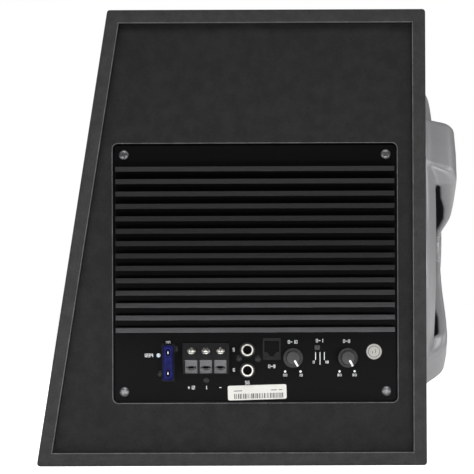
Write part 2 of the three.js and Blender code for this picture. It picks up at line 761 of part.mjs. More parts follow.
const FUSE_BLADE = { thick: 0.8, width: 7, spread: 9.5 };
const holderDepth = FUSE.blade + 2;
const holderTop = FUSE.stand - FIT;
const bladeSlots = [-1, 1].map((side) =>
  box(FUSE_BLADE.thick + 2 * FIT, FUSE_BLADE.width + 2 * FIT, holderDepth + holderTop).translate(
    0,
    side * FUSE_BLADE.spread,
    1 - holderDepth,
  ),
);
add(
  amp,
  "fuse_holder",
  cut(box(...fuseHolder, holderDepth + holderTop).translate(0, 0, -holderDepth), ...bladeSlots),
  FINISH.blackPlastic,
  [...at(FUSE_AT), 0],
);
const blades = [-1, 1].map((side) =>
  box(FUSE_BLADE.thick, FUSE_BLADE.width, FUSE.blade + 1).translate(
    0,
    side * FUSE_BLADE.spread,
    FUSE.stand - FUSE.blade,
  ),
);
add(
  amp,
  "fuse",
  join(box(FUSE.width, FUSE.length, FUSE.head).translate(0, 0, FUSE.stand), ...blades),
  FINISH.bluePlastic,
  [...at(FUSE_AT), 0],
);

// ---------------------------------------------------------------- power terminals

// The block is a ridge: the screws are on its upper slope and the wires enter its lower slope,
// both square to their slope.
const ridge = TERMINAL.height / 2;
const ridgeTop = TERMINAL.base + ridge;
const terminalDepth = 10; // behind the plate's face
const roof = (grow) => [
  [-ridge, FIT],
  [ridge, FIT],
  [ridge, TERMINAL.base + grow],
  [0, ridgeTop + grow],
  [-ridge, TERMINAL.base + grow],
];

/** An outline of [up, out] points carried across the block, centred on x. */
const across = (points, width) =>
  prism(points, width)
    .applyMatrix4(
      new THREE.Matrix4().makeBasis(
        new THREE.Vector3(0, 1, 0),
        new THREE.Vector3(0, 0, 1),
        new THREE.Vector3(1, 0, 0),
      ),
    )
    .translate(-width / 2, 0, 0);

const polePlaces = Array.from(
  { length: TERMINAL.poles },
  (_, i) => (i - (TERMINAL.poles - 1) / 2) * TERMINAL.pitch,
);
const DIVIDER = { thick: 1.4, proud: 1.6 };
const dividers = Array.from({ length: TERMINAL.poles + 1 }, (_, i) =>
  across(roof(DIVIDER.proud), DIVIDER.thick).translate(
    (i - TERMINAL.poles / 2) * TERMINAL.pitch,
    0,
    0,
  ),
);

// A terminal's own frame: z along its screw, out of the upper slope, and y into the block along
// its wire. It stands on the middle of the upper slope.
const slope = Math.PI / 4;
const slopeMiddle = [ridge / 2, TERMINAL.base + ridge / 2];
const onSlope = (geometry, x) =>
  geometry.rotateX(-slope).translate(x, slopeMiddle[0], slopeMiddle[1]);
const reach = ridge / Math.SQRT2; // from either slope's middle to where screw and wire cross
const TERMINAL_SCREW = { head: 4.1, headHeight: 2.4, shank: 2, sink: 2 };
const pocketTop = -reach + TERMINAL.pocket / 2;
const pocketBottom = pocketTop - TERMINAL.pocket;
const CLAMP = { width: 7.2, length: 7.2, thick: 1.6 };

const terminalCuts = polePlaces.flatMap((x) => [
  onSlope(rod(TERMINAL_SCREW.head + FIT, 2 * ridge).translate(0, 0, -TERMINAL_SCREW.sink), x),
  onSlope(rod(TERMINAL_SCREW.shank + FIT, 2 * ridge).translate(0, 0, pocketTop - 1), x),
  onSlope(
    box(TERMINAL.pocket, TERMINAL.depth + reach, TERMINAL.pocket).translate(
      0,
      -(TERMINAL.depth + reach) / 2 + 4.5,
      pocketBottom,
    ),
    x,
  ),
]);
add(
  amp,
  "terminal_block",
  cut(
    join(
      across(roof(0), TERMINAL.width),
      box(...terminalBase, terminalDepth + 1).translate(0, 0, -terminalDepth),
      ...dividers,
    ),
    ...terminalCuts,
  ),
  FINISH.blackPlastic,
  [...at(TERMINAL_AT), 0],
);
polePlaces.forEach((x, i) => {
  const shankLength = -pocketBottom - TERMINAL_SCREW.sink - 1;
  const screw = crossHeadScrew(
    TERMINAL_SCREW.head,
    TERMINAL_SCREW.headHeight,
    TERMINAL_SCREW.shank,
    shankLength,
  ).translate(0, 0, GLUE_LINE - TERMINAL_SCREW.sink);
  const clamp = cut(
    box(CLAMP.width, CLAMP.length, CLAMP.thick).translate(0, 0, pocketTop - CLAMP.thick - FIT),
    rod(TERMINAL_SCREW.shank + FIT, ridge).translate(0, 0, pocketTop - ridge / 2),
  );
  add(amp, "terminal_screw_" + (i + 1), onSlope(screw, x), FINISH.nickel, [...at(TERMINAL_AT), 0]);
  add(amp, "terminal_clamp_" + (i + 1), onSlope(clamp, x), FINISH.steel, [...at(TERMINAL_AT), 0]);
});

// ---------------------------------------------------------------- sockets

const rcaSocket = () =>
  cut(
    join(
      rod(RCA.outer, RCA.height + RCA.depth).translate(0, 0, -RCA.depth),
      ring(RCA.inner, RCA.outer + 1.2, FIT, 1.6, SMALL_ROUND),
      box(2 * RCA.outer + 1, 2 * RCA.outer + 1, 4).translate(0, 0, -RCA.depth),
    ),
    rod(RCA.inner, RCA.height + RCA.depth).translate(0, 0, 2 - RCA.depth),
  );
add(amp, "rca_socket_left", rcaSocket(), FINISH.nickel, [...at(RCA_LEFT_AT), 0]);
add(amp, "rca_socket_right", rcaSocket(), FINISH.nickel, [...at(RCA_RIGHT_AT), 0]);

const linkTop = 1.5;
const linkMouth = [
  [LINK.mouth, 9.3, 2],
  [LINK.mouth * 0.56, 3, -2.6],
  [LINK.mouth * 0.33, 3, -4.6],
];
add(
  amp,
  "remote_socket",
  cut(
    box(LINK.width, LINK.height, LINK.depth + linkTop + 2).translate(0, 0, -LINK.depth - 2),
    ...linkMouth.map(([width, height, up]) =>
      box(width, height, LINK.depth + 4).translate(0, up, -LINK.depth),
    ),
  ),
  FINISH.blackPlastic,
  [...at(LINK_AT), 0],
);

// ---------------------------------------------------------------- knobs and switch

const behindPlate = plateBack - FIT;
const POT_DEPTH = 8;
const shaftEnd = behindPlate - POT_DEPTH + 3;
const FLUTES = 12;
const FLUTE_DEPTH = 0.8;

/** The knob's grip: a round outline whose radius dips at each flute. */
function flutedGrip(radius, height) {
  const count = FLUTES * 4;
  const points = Array.from({ length: count }, (_, i) => {
    const angle = (i / count) * 2 * Math.PI;
    const dip = i % 4 === 0 ? FLUTE_DEPTH : 0;
    return [(radius - dip) * Math.cos(angle), (radius - dip) * Math.sin(angle)];
  });
  return prism(points, height);
}

for (const [name, place] of [["level", LEVEL_AT], ["frequency", FREQ_AT]]) {
  const body = box(POT_BODY, POT_BODY, POT_DEPTH).translate(0, 0, behindPlate - POT_DEPTH);
  const neck = rod(bushing, POT_DEPTH).translate(0, 0, KNOB.base - FIT - POT_DEPTH);
  const bore = rod(KNOB.shaft + FIT, 3 * POT_DEPTH).translate(0, 0, behindPlate - POT_DEPTH + 2);
  add(amp, name + "_control", cut(join(body, neck), bore), FINISH.steel, [...at(place), 0]);
  const skirt = rod(KNOB.skirt, KNOB.skirtHeight, 36).translate(0, 0, KNOB.base);
  const grip = flutedGrip(KNOB.cap, KNOB.height - KNOB.base - 1).translate(0, 0, KNOB.base + 1);
  const shaft = rod(KNOB.shaft, KNOB.base + 1 - shaftEnd).translate(0, 0, shaftEnd);
  add(amp, name + "_knob", join(skirt, grip, shaft), FINISH.blackPlastic, [...at(place), 0]);
}

const SWITCH_DEPTH = 8;
const switchCavity = [SWITCH.slot - 1.5, SWITCH.height - 1];
add(
  amp,
  "phase_switch",
  cut(
    box(SWITCH.slot + 3, SWITCH.height + 3, SWITCH_DEPTH).translate(0, 0, behindPlate - SWITCH_DEPTH),
    box(...switchCavity, SWITCH_DEPTH).translate(0, 0, behindPlate - SWITCH_DEPTH + 2),
  ),
  FINISH.steel,
  [...at(SWITCH_AT), 0],
);
const sliderLeft = -switchCavity[0] / 2 + FIT;
add(
  amp,
  "phase_slider",
  box(SWITCH.slider, switchCavity[1] - 2 * FIT, SWITCH_DEPTH + 2).translate(
    sliderLeft + SWITCH.slider / 2,
    0,
    behindPlate - SWITCH_DEPTH + 3,
  ),
  FINISH.blackPlastic,
  [...at(SWITCH_AT), 0],
);

// ---------------------------------------------------------------- power light

const LED_DOME = 1.4;
add(
  amp,
  "power_light",
  turned(
    [[0, -6], [LED_RADIUS, -6], [LED_RADIUS, 0.2], [LED_RADIUS * 0.7, LED_DOME * 0.8], [0, LED_DOME]],
    SMALL_ROUND,
  ),
  FINISH.lens,
  [...at(LED_AT), 0],
);

export default subwoofer;
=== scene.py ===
import math

import bpy
import numpy as np
from mathutils import Matrix, Vector


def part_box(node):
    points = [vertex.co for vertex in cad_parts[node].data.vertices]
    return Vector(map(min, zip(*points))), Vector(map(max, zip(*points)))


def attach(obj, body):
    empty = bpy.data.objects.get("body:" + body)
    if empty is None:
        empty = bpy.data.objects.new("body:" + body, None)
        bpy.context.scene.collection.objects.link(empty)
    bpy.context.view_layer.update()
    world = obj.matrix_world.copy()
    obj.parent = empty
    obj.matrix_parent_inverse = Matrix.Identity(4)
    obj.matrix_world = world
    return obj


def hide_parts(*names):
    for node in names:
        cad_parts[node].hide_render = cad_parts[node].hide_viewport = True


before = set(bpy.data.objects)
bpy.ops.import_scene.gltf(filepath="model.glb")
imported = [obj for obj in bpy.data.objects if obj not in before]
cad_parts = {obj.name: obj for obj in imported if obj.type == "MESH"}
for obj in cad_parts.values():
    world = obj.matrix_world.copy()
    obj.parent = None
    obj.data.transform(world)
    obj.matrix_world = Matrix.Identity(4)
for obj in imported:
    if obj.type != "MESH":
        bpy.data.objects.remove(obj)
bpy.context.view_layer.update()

# ---------------------------------------------------------------- studio
# A pale table under a white sky that dims towards the horizon, so that the flat fin tips stay
# dark. Six soft lights stand round the table, and a long lens looks squarely at the plate.

LENS_MM = 228.2
CAMERA_PLACE = (0.005, -2.69, 0.1672)
CAMERA_TILT = math.radians(0.533)
CAMERA_ROLL = math.radians(-0.206)


def linear(code, alpha=1.0):
    """A hex colour in linear light: each channel goes through the sRGB decoding curve."""
    channels = np.array([int(code[i : i + 2], 16) for i in (1, 3, 5)]) / 255
    low = channels / 12.92
    high = ((channels + 0.055) / 1.055) ** 2.4
    return (*np.where(channels <= 0.04045, low, high).tolist(), alpha)


def add_node(tree, kind, inputs=None, **settings):
    """Adds a shader node, sets its properties, and sets or links each named input."""
    made = tree.nodes.new(kind)
    for key, value in settings.items():
        setattr(made, key, value)
    for key, value in (inputs or {}).items():
        if isinstance(value, bpy.types.NodeSocket):
            tree.links.new(value, made.inputs[key])
        else:
            made.inputs[key].default_value = value
    return made


def new_material(name, code, roughness, metallic=0.0, **sockets):
    """A named material: its Principled shader, with the even values set on its own sockets."""
    material = bpy.data.materials.new(name)
    material.use_nodes = True
    shader = material.node_tree.nodes["Principled BSDF"]
    shader.inputs["Base Color"].default_value = linear(code)
    shader.inputs["Roughness"].default_value = roughness
    shader.inputs["Metallic"].default_value = metallic
    for key, value in sockets.items():
        shader.inputs[key.replace("_", " ")].default_value = value
    return material, material.node_tree, shader


camera = bpy.data.objects.new("camera", bpy.data.cameras.new("camera"))
bpy.context.scene.collection.objects.link(camera)
camera.data.lens = LENS_MM
camera.data.sensor_width = 36
camera.data.clip_end = 60
camera.matrix_world = (
    Matrix.Translation(CAMERA_PLACE)
    @ Matrix.Rotation(math.pi / 2 + CAMERA_TILT, 4, "X")
    @ Matrix.Rotation(CAMERA_ROLL, 4, "Z")
)
bpy.context.scene.camera = camera
bpy.context.scene.view_settings.view_transform = "Standard"

sky = bpy.data.worlds.new("even_sky")
bpy.context.scene.world = sky
sky.use_nodes = True
seen = add_node(sky.node_tree, "ShaderNodeLightPath").outputs["Is Camera Ray"]
looking = add_node(sky.node_tree, "ShaderNodeTexCoord").outputs["Generated"]
direction = add_node(sky.node_tree, "ShaderNodeSeparateXYZ", {"Vector": looking})
tilt = add_node(sky.node_tree, "ShaderNodeMath", {0: direction.outputs["Z"]}, operation="ABSOLUTE")
dim_at_eye_level = add_node(
    sky.node_tree,
    "ShaderNodeMapRange",
    {"Value": tilt.outputs["Value"], "From Min": 0.006, "From Max": 0.04, "To Min": 0.02, "To Max": 0.22},
)
strength = add_node(
    sky.node_tree,
    "ShaderNodeMix",
    {"Factor": seen, "A": dim_at_eye_level.outputs["Result"], "B": 1.0},
).outputs["Result"]
sky.node_tree.links.new(strength, sky.node_tree.nodes["Background"].inputs["Strength"])
sky.node_tree.nodes["Background"].inputs["Color"].default_value = (1, 1, 1, 1)

bpy.ops.mesh.primitive_circle_add(vertices=96, radius=9, fill_type="NGON")
table = bpy.context.object
table.name = "table"
table_white, table_tree, table_shader = new_material(
    "pale_table", "#f4f4f4", 0.9, Emission_Color=(1, 1, 1, 1)
)
seen = add_node(table_tree, "ShaderNodeLightPath").outputs["Is Camera Ray"]
glow = add_node(table_tree, "ShaderNodeMapRange", {"Value": seen, "To Min": 0.25, "To Max": 0.8})
table_tree.links.new(glow.outputs["Result"], table_shader.inputs["Emission Strength"])
table.data.materials.append(table_white)


def softbox(name, place, aim, size, watts):
    """A rectangular light at a place, turned towards a point."""
    light = bpy.data.objects.new(name, bpy.data.lights.new(name, "AREA"))
    light.data.shape = "RECTANGLE"
    light.data.size, light.data.size_y = size
    light.data.energy = watts
    light.location = place
    light.rotation_euler = (Vector(aim) - Vector(place)).to_track_quat("-Z", "Y").to_euler()
    light.visible_camera = False
    bpy.context.scene.collection.objects.link(light)


softbox("light_above", (0.0, -0.8, 1.0), (0, -0.19, 0.27), (1.2, 0.35), 4.0)
softbox("light_low", (0.0, -0.5, 0.015), (0, -0.19, 0.08), (0.9, 0.12), 2.0)
softbox("light_high", (0.0, -1.5, 1.7), (0, -0.19, 0.19), (1.6, 0.9), 9)
softbox("light_woofer", (1.3, -0.3, 0.8), (0.16, 0, 0.19), (0.8, 0.8), 4)
softbox("light_rear", (-0.3, 1.7, 1.3), (0, 0.19, 0.19), (1.4, 1.0), 12)
softbox("light_far_side", (-1.6, 0.3, 1.0), (-0.17, 0, 0.19), (1.2, 0.9), 9)

# ---------------------------------------------------------------- fibreboard boards
# Six 9 mm boards of medium-density fibreboard, glued at mitred corners. They are bare inside;
# the faces are smooth and pale brown with fine flecks of fibre. The two side boards are near black
# instead: painted shade, so that the gap round the amplifier plate shows dark.

MM = 0.001


def object_noise(tree, size_mm, detail=3.0, stretch=(1, 1, 1)):
    """Noise fixed to the object, whose blobs are about size_mm across."""
    place = add_node(tree, "ShaderNodeTexCoord").outputs["Object"]
    moved = add_node(tree, "ShaderNodeMapping", {"Vector": place, "Scale": stretch})
    return add_node(
        tree,
        "ShaderNodeTexNoise",
        {"Vector": moved.outputs["Vector"], "Scale": 1 / (size_mm * MM), "Detail": detail},
    ).outputs["Fac"]


def two_tone(tree, shader, factor, dark, light, low=0.35, high=0.65):
    """Colours the shader from dark to light as the factor goes from low to high."""
    ramp = add_node(tree, "ShaderNodeValToRGB", {"Fac": factor})
    ramp.color_ramp.elements[0].position = low
    ramp.color_ramp.elements[0].color = linear(dark)
    ramp.color_ramp.elements[1].position = high
    ramp.color_ramp.elements[1].color = linear(light)
    tree.links.new(ramp.outputs["Color"], shader.inputs["Base Color"])


def bump(tree, shader, height, depth_mm, strength=1.0):
    """Raises the surface by the height, which goes from 0 to 1 over depth_mm."""
    made = add_node(
        tree, "ShaderNodeBump", {"Height": height, "Distance": depth_mm * MM, "Strength": strength}
    )
    tree.links.new(made.outputs["Normal"], shader.inputs["Normal"])


def vary_roughness(tree, shader, factor, low, high):
    """Roughness goes from low to high with the factor."""
    made = add_node(
        tree, "ShaderNodeMapRange", {"Value": factor, "To Min": low, "To Max": high}
    )
    tree.links.new(made.outputs["Result"], shader.inputs["Roughness"])


def grained(name, dark, light, roughness, size_mm, depth_mm, metallic=0.0, **sockets):
    """A material with two-tone grain of a real size, a bump to match and a varied gloss."""
    material, tree, shader = new_material(name, light, roughness, metallic, **sockets)
    grain = object_noise(tree, size_mm)
    two_tone(tree, shader, grain, dark, light)
    bump(tree, shader, grain, depth_mm, 0.6)
    broad = object_noise(tree, 12 * size_mm, 2.0)
    vary_roughness(tree, shader, broad, roughness * 0.85, min(1.0, roughness * 1.15))
    return material


def finish_node(name, material):
    """Gives a kept CAD node its finish."""
    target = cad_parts[name]
    target.data.materials.clear()
    target.data.materials.append(material)


fibreboard = grained("medium_density_fibreboard", "#8c6c48", "#b08d62", 0.85, 0.9, 0.05)
for board in ("front_baffle", "rear_panel", "top_panel", "bottom_panel"):
    finish_node(board, fibreboard)
# Near black on the side boards is painted shade: the gap round the plate is dark only from shadow.
side_board_painted_shade = grained("fibreboard_black_as_painted_shade", "#0b0b0c", "#131314", 0.8, 0.9, 0.04)
for board in ("amp_side_panel", "far_side_panel"):
    finish_node(board, side_board_painted_shade)

# ---------------------------------------------------------------- felt carpet wrap
# Charcoal needle-punched felt, 1.5 mm thick, glued round the four outer boards and folded over
# the rim at each side. The folds meet in a mitre at each corner, and the cut edge is paler, painted
# lighter still as the highlight the edge catches.

CARPET = 1.5
RIM = 10.8
CORNER = 2.6
ARC_STEPS = 5
MITRE_GROOVE = 0.35


def felt_material(name, dark, light):
    """Felt: fibre-sized flecks over soft cloudy patches, fully matt, with a dusty sheen."""
    material, tree, shader = new_material(
        name, light, 1.0, Sheen_Weight=0.03, Sheen_Roughness=0.6, Specular_IOR_Level=0.05
    )
    fibres = object_noise(tree, 1.1, 4.0)
    patches = object_noise(tree, 9.0, 3.0)
    mixed = add_node(
        tree, "ShaderNodeMath", {0: fibres, 1: patches}, operation="ADD"
    ).outputs["Value"]
    halved = add_node(tree, "ShaderNodeMath", {0: mixed, 1: 0.5}, operation="MULTIPLY")
    two_tone(tree, shader, halved.outputs["Value"], dark, light, 0.4, 0.6)
    bump(tree, shader, mixed, 0.45, 0.8)
    return material


felt = felt_material("charcoal_felt", "#222223", "#292929")
# The wrap is a lighter copy of the panel felt: painted light, for the rims catching more light than the
# recessed side sheets.
rim_felt_painted_lighter = felt_material("felt_painted_lighter_for_rims", "#313132", "#393939")
cut_edge_and_highlight_felt = felt_material("felt_cut_edge_painted_highlight", "#4e4e50", "#666668")


def make_piece(name, points, faces, material, body="cabinet", slot=None, instead_of=(), smooth=True):
    """A finished mesh at the origin that rides on a body, with points in metres."""
    mesh = bpy.data.meshes.new(name)
    mesh.from_pydata(np.asarray(points).tolist(), [], faces)
    mesh.update()
    made = bpy.data.objects.new(name, mesh)
    bpy.context.scene.collection.objects.link(made)
    mesh.materials.append(material)
    if smooth:
        mesh.shade_smooth()
        mesh.set_sharp_from_angle(angle=math.radians(40))
    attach(made, body)
    if instead_of:
        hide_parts(*instead_of)
    return made


def loft(rings, loop=False):
    """Quads between neighbouring closed rings. The end rings are capped, or loop joins them."""
    rings = np.asarray(rings, float)
    count, around, _ = rings.shape
    index = np.arange(count * around).reshape(count, around)
    rows = np.vstack([index, index[:1]]) if loop else index
    turned_on = np.roll(rows, -1, axis=1)
    quads = np.stack([rows[:-1], turned_on[:-1], turned_on[1:], rows[1:]], -1).reshape(-1, 4)
    faces = quads.tolist()
    if not loop:
        faces += [index[0][::-1].tolist(), index[-1].tolist()]
    return rings.reshape(-1, 3), faces


def rounded(corners, radius, insets, steps=ARC_STEPS):
    """Convex counter-clockwise outlines, one for each inset. An outline's edges are its corners'
    edges moved inwards by the inset, and its corner arcs have what is left of the radius."""
    corners = np.asarray(corners, float)
    insets = np.asarray(insets, float)[:, None]
    before = corners - np.roll(corners, 1, axis=0)
    after = np.roll(corners, -1, axis=0) - corners
    start = np.arctan2(before[:, 1], before[:, 0]) - np.pi / 2
    turn = np.mod(np.arctan2(after[:, 1], after[:, 0]) - np.pi / 2 - start, 2 * np.pi)
    middle = start + turn / 2
    left = np.maximum(radius - insets, 0.02)
    reach = (insets + left) / np.cos(turn / 2)
    centre = corners - reach[..., None] * np.stack([np.cos(middle), np.sin(middle)], -1)
    angles = start[:, None] + turn[:, None] * np.linspace(0, 1, steps + 1)
    unit = np.stack([np.cos(angles), np.sin(angles)], -1)
    arcs = centre[:, :, None] + left[..., None, None] * unit
    return arcs.reshape(len(insets), -1, 2)


def slab(corners, radius, profile, steps=ARC_STEPS):
    """Rings of a rounded outline, one at each (inset, height) of the profile."""
    profile = np.asarray(profile, float)
    flat = rounded(corners, radius, profile[:, 0], steps)
    tall = np.broadcast_to(profile[:, 1, None, None], (*flat.shape[:2], 1))
    return np.concatenate([flat, tall], -1)


def edge_round(radius, low, high, steps=3):
    """An (inset, height) profile of a plate from low to high, with its upper edge rounded."""
    angle = np.linspace(0, np.pi / 2, steps + 1)
    arc = np.stack([radius * (1 - np.cos(angle)), high - radius * (1 - np.sin(angle))], -1)
    return np.vstack([[0, low], arc])


outline_low, outline_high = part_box("carpet_bottom")
top_low, top_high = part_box("carpet_top")
half_width = outline_high.y / MM
FLOOR = outline_low.z / MM
# The carpet strips stop just short of their corners, by a mitre gap along each edge.
MITRE_GAP = 0.2
front_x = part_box("carpet_front")[1].x / MM
rear_low_x = outline_low.x / MM - MITRE_GAP
rear_top_x = top_low.x / MM - MITRE_GAP
height = top_high.z / MM
cabinet_corners = [
    (rear_low_x, FLOOR),
    (front_x, FLOOR),
    (front_x, height),
    (rear_top_x, height),
]
SIDE_RECESS = 6.0


def wrap_section():
    """The felt's (inset, across) section: over the outside, round both rims, and down into the
    side recesses."""
    reach = half_width
    turn = np.linspace(0, np.pi / 2, 5)
    sine, cosine = CORNER * np.sin(turn), CORNER * np.cos(turn)
    far_fold = np.stack([CORNER - sine, CORNER - cosine - reach], -1)
    near_fold = np.stack([CORNER - cosine, reach - CORNER + sine], -1)
    lip = np.array([(RIM - 0.4, 0), (RIM + 0.1, -0.2), (RIM + 0.3, -0.6)])
    hem = np.array([(RIM + 0.3, -SIDE_RECESS), (RIM - 0.2, -SIDE_RECESS), (RIM - 0.2, -CARPET)])
    near = np.vstack([near_fold, lip + (0, reach), hem + (0, reach)])
    far = np.vstack([far_fold[::-1], lip * (1, -1) - (0, reach), hem * (1, -1) - (0, reach)])[::-1]
    inside = [[CARPET, reach - CARPET], [CARPET, CARPET - reach]]
    return np.vstack([far, near, inside])


wrap = slab(cabinet_corners, CORNER, wrap_section())
# Each mitre dips along the middle of its corner, on both rims.
corner_step = np.arange(wrap.shape[1]) % (ARC_STEPS + 1)
mitre = (corner_step >= 2) & (corner_step <= 3)
on_rim = np.abs(wrap[..., 2]) > half_width - 0.25
wrap[..., 2] -= MITRE_GROOVE * np.sign(wrap[..., 2]) * (on_rim & mitre)


def stood_up(points):
    """Outline millimetres (depth, height, across) as metres in the row frame."""
    points = np.asarray(points, float)
    return np.stack([points[..., 0], -points[..., 2], points[..., 1]], -1) * MM


def apply_modifiers(made):
    """Replaces the mesh with what its modifiers make of it."""
    graph = bpy.context.evaluated_depsgraph_get()
    finished = bpy.data.meshes.new_from_object(made.evaluated_get(graph))
    made.modifiers.clear()
    made.data = finished
    return made


def carve(made, cutters):
    """Cuts each cutter (points, faces) out of the piece."""
    for points, faces in cutters:
        mesh = bpy.data.meshes.new("cutter")
        mesh.from_pydata(np.asarray(points).tolist(), [], faces)
        tool = bpy.data.objects.new("cutter", mesh)
        bpy.context.scene.collection.objects.link(tool)
        modifier = made.modifiers.new("cut", "BOOLEAN")
        modifier.operation = "DIFFERENCE"
        modifier.solver = "EXACT"
        modifier.object = tool
        apply_modifiers(made)
        bpy.data.objects.remove(tool)
    made.data.shade_smooth()
    made.data.set_sharp_from_angle(angle=math.radians(40))
    return made


def turned(profile, count=96, loop=False):
    """A profile of (radius, height) points turned about the third axis."""
    profile = np.asarray(profile, float)
    angle = np.linspace(0, 2 * np.pi, count, endpoint=False)
    flat = profile[:, 0, None, None] * np.stack([np.cos(angle), np.sin(angle)], -1)
    tall = np.broadcast_to(profile[:, 1, None, None], (*flat.shape[:2], 1))
    return loft(np.concatenate([flat, tall], -1), loop)


guard_low, guard_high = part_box("guard")
WOOFER_Y = (guard_low.y + guard_high.y) / 2
WOOFER_Z = (guard_low.z + guard_high.z) / 2
BAFFLE_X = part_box("front_baffle")[1].x


def in_woofer(points):
    """Woofer millimetres (down, across, forwards from the baffle board) as metres."""
    points = np.asarray(points, float) * MM
    return np.stack(
        [BAFFLE_X + points[..., 2], WOOFER_Y + points[..., 1], WOOFER_Z - points[..., 0]], -1
    )


ring_outer = (guard_high.y - guard_low.y) / 2 / MM
points, faces = loft(stood_up(wrap), loop=True)
carpet_wrap = make_piece(
    "carpet_wrap", points, faces, rim_felt_painted_lighter, slot="carpet",
    instead_of=("carpet_bottom", "carpet_front", "carpet_top", "carpet_rear"),
)
FLANGE_HOLE = ring_outer - 7
cutter_points, cutter_faces = turned([(FLANGE_HOLE, -12), (FLANGE_HOLE, 12)])
carve(carpet_wrap, [(in_woofer(cutter_points), cutter_faces)])

# The cut edge of the fold is a thin pale line round the inside of each rim: partly the felt's cut
# edge, partly painted highlight along the edge.
EDGE_LINE = 0.6
for side, name in ((1, "rim_edge_amp_side"), (-1, "rim_edge_far_side")):
    face = side * (half_width - 0.1)
    back = side * (half_width - 1.2)
    section = [(RIM + 0.25, back), (RIM - EDGE_LINE, face), (RIM - 0.2, face + side * 0.12)]
    section += [(RIM + 0.3, face - side * 0.2)]
    if side < 0:
        section = section[::-1]
    points, faces = loft(stood_up(slab(cabinet_corners, CORNER, section)), loop=True)
    make_piece(name, points, faces, cut_edge_and_highlight_felt, slot="carpet")

# ---------------------------------------------------------------- felt on the side panels
# A flat sheet of the same felt on each recessed side panel. The one on the amplifier's side is
# cut out round the plate, and its cut edge shows as a pale line, partly painted highlight.

amp_low, amp_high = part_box("amp_plate")
AMP_PLATE = 3.0
AMP_FACE = amp_high.y - AMP_PLATE * MM
AMP_X = (amp_low.x + amp_high.x) / 2
AMP_Z = (amp_low.z + amp_high.z) / 2
PLATE_SIZE = np.array([amp_high.x - amp_low.x, amp_high.z - amp_low.z]) / MM
PLATE_CORNER = 3.2
EDGE_GAP = 1.2


def in_amp(points):
    """Plate millimetres (right, up, out of the plate's face) as metres in the row frame."""
    points = np.asarray(points, float) * MM
    return np.stack([AMP_X + points[..., 0], AMP_FACE - points[..., 2], AMP_Z + points[..., 1]], -1)


def rectangle(width, tall, centre=(0, 0)):
    """The corners of a rectangle, counter-clockwise."""
    signs = np.array([(-1, -1), (1, -1), (1, 1), (-1, 1)])
    return signs * (width / 2, tall / 2) + centre


def side_sheet(name, node, side):
    """A felt sheet with a softened outer edge on one side panel."""
    low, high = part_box(node)
    face = (high.y if side < 0 else -low.y) / MM
    inset = RIM + 0.35
    rings = slab(
        cabinet_corners, CORNER, [(inset, face - CARPET), (inset, face - 0.4), (inset + 0.4, face)]
    )
    if side < 0:
        rings = rings[::-1] * (1, 1, -1)
    return make_piece(name, *loft(stood_up(rings)), felt, slot="carpet", instead_of=(node,))


side_sheet("felt_far_side", "carpet_far_side", -1)
amp_felt = side_sheet("felt_amp_side", "carpet_amp_side", 1)
hole = rectangle(*(PLATE_SIZE + 2 * EDGE_GAP))
HOLE_CORNER = PLATE_CORNER + EDGE_GAP
carve(amp_felt, [loft(in_amp(slab(hole, HOLE_CORNER, [(0, -9), (0, 9)])))])

SHEET_FACE = (AMP_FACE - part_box("carpet_amp_side")[0].y) / MM
line = [(0.0, SHEET_FACE - 1.2), (-0.7, SHEET_FACE - 0.05), (-0.35, SHEET_FACE + 0.15)]
line += [(0.05, SHEET_FACE)]
points, faces = loft(in_amp(slab(hole, HOLE_CORNER, line)), loop=True)
make_piece("felt_cut_line", points, faces, cut_edge_and_highlight_felt, slot="carpet")

# ---------------------------------------------------------------- woofer motor and basket
# Pressed steel basket in black powder coat, a dark sintered ferrite ring between zinc-plated
# plates, and a black moulded terminal block. All of it stays behind the baffle.

powder_coat = grained("black_powder_coat", "#131315", "#1d1d20", 0.55, 0.5, 0.03)
zinc = grained("zinc_plated_steel", "#a8a9a6", "#bcbdb9", 0.38, 1.5, 0.01, 1.0)
ferrite = grained("sintered_ferrite", "#2a2a2c", "#3c3c3e", 0.75, 0.6, 0.04)
foam_rubber = grained("black_rubber", "#141416", "#1e1e20", 0.8, 0.6, 0.04)
abs_black = grained("moulded_black_abs", "#131315", "#1a1a1c", 0.48, 0.45, 0.015)
finish_node("basket", powder_coat)
finish_node("top_plate", zinc)
finish_node("pole_and_back_plate", zinc)
finish_node("magnet", ferrite)
finish_node("woofer_gasket", foam_rubber)
finish_node("woofer_terminal", abs_black)
finish_node("amp_gasket", foam_rubber)
finish_node("amp_inner_cover", powder_coat)
spider_cloth = grained("resin_dipped_cotton", "#8d6126", "#b98a3f", 0.9, 0.7, 0.1)
finish_node("spider", spider_cloth)
copper_wire = grained("enamelled_copper", "#7f401c", "#a85c30", 0.35, 0.4, 0.05, 0.9)
finish_node("voice_coil", copper_wire)

# ---------------------------------------------------------------- cone, cap and surround
# A pressed pulp cone with faint circular ribs, a domed cap glued on it, and a half-roll surround
# of butyl rubber that joins the cone to the basket.

pulp = grained("pressed_black_pulp", "#1c1c1e", "#2b2b2d", 0.9, 0.8, 0.12)
butyl = grained("butyl_rubber", "#161618", "#202022", 0.62, 0.7, 0.02)
cone_low, cone_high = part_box("cone")
cone_radius = (cone_high.y - cone_low.y) / 2 / MM
cone_back = (cone_low.x - BAFFLE_X) / MM
cone_rim = (cone_high.x - BAFFLE_X) / MM
NECK = 26.5
NECK_HEIGHT = 4.2
CONE_WALL = 1.0
CONE_CROWN = 0.6
share = np.linspace(0, 1, 25)
cone_r = NECK + (cone_radius - NECK) * share
neck_z = cone_back + NECK_HEIGHT
cone_z = neck_z + (cone_rim - neck_z) * share + CONE_CROWN * np.sin(np.pi * share)
RIB_HEIGHT = 0.35
ribs = RIB_HEIGHT * np.clip(np.sin(share * 40), 0, 1) * (share > 0.45) * (share < 0.95)
upper = np.stack([cone_r, cone_z + ribs], -1)
lower = np.stack([cone_r, cone_z - CONE_WALL], -1)[::-1]
points, faces = turned(np.vstack([lower[::-1], upper[::-1]]), 128, loop=True)
make_piece("paper_cone", in_woofer(points), faces, pulp, "cone_assembly", "paper_cone", ("cone",))

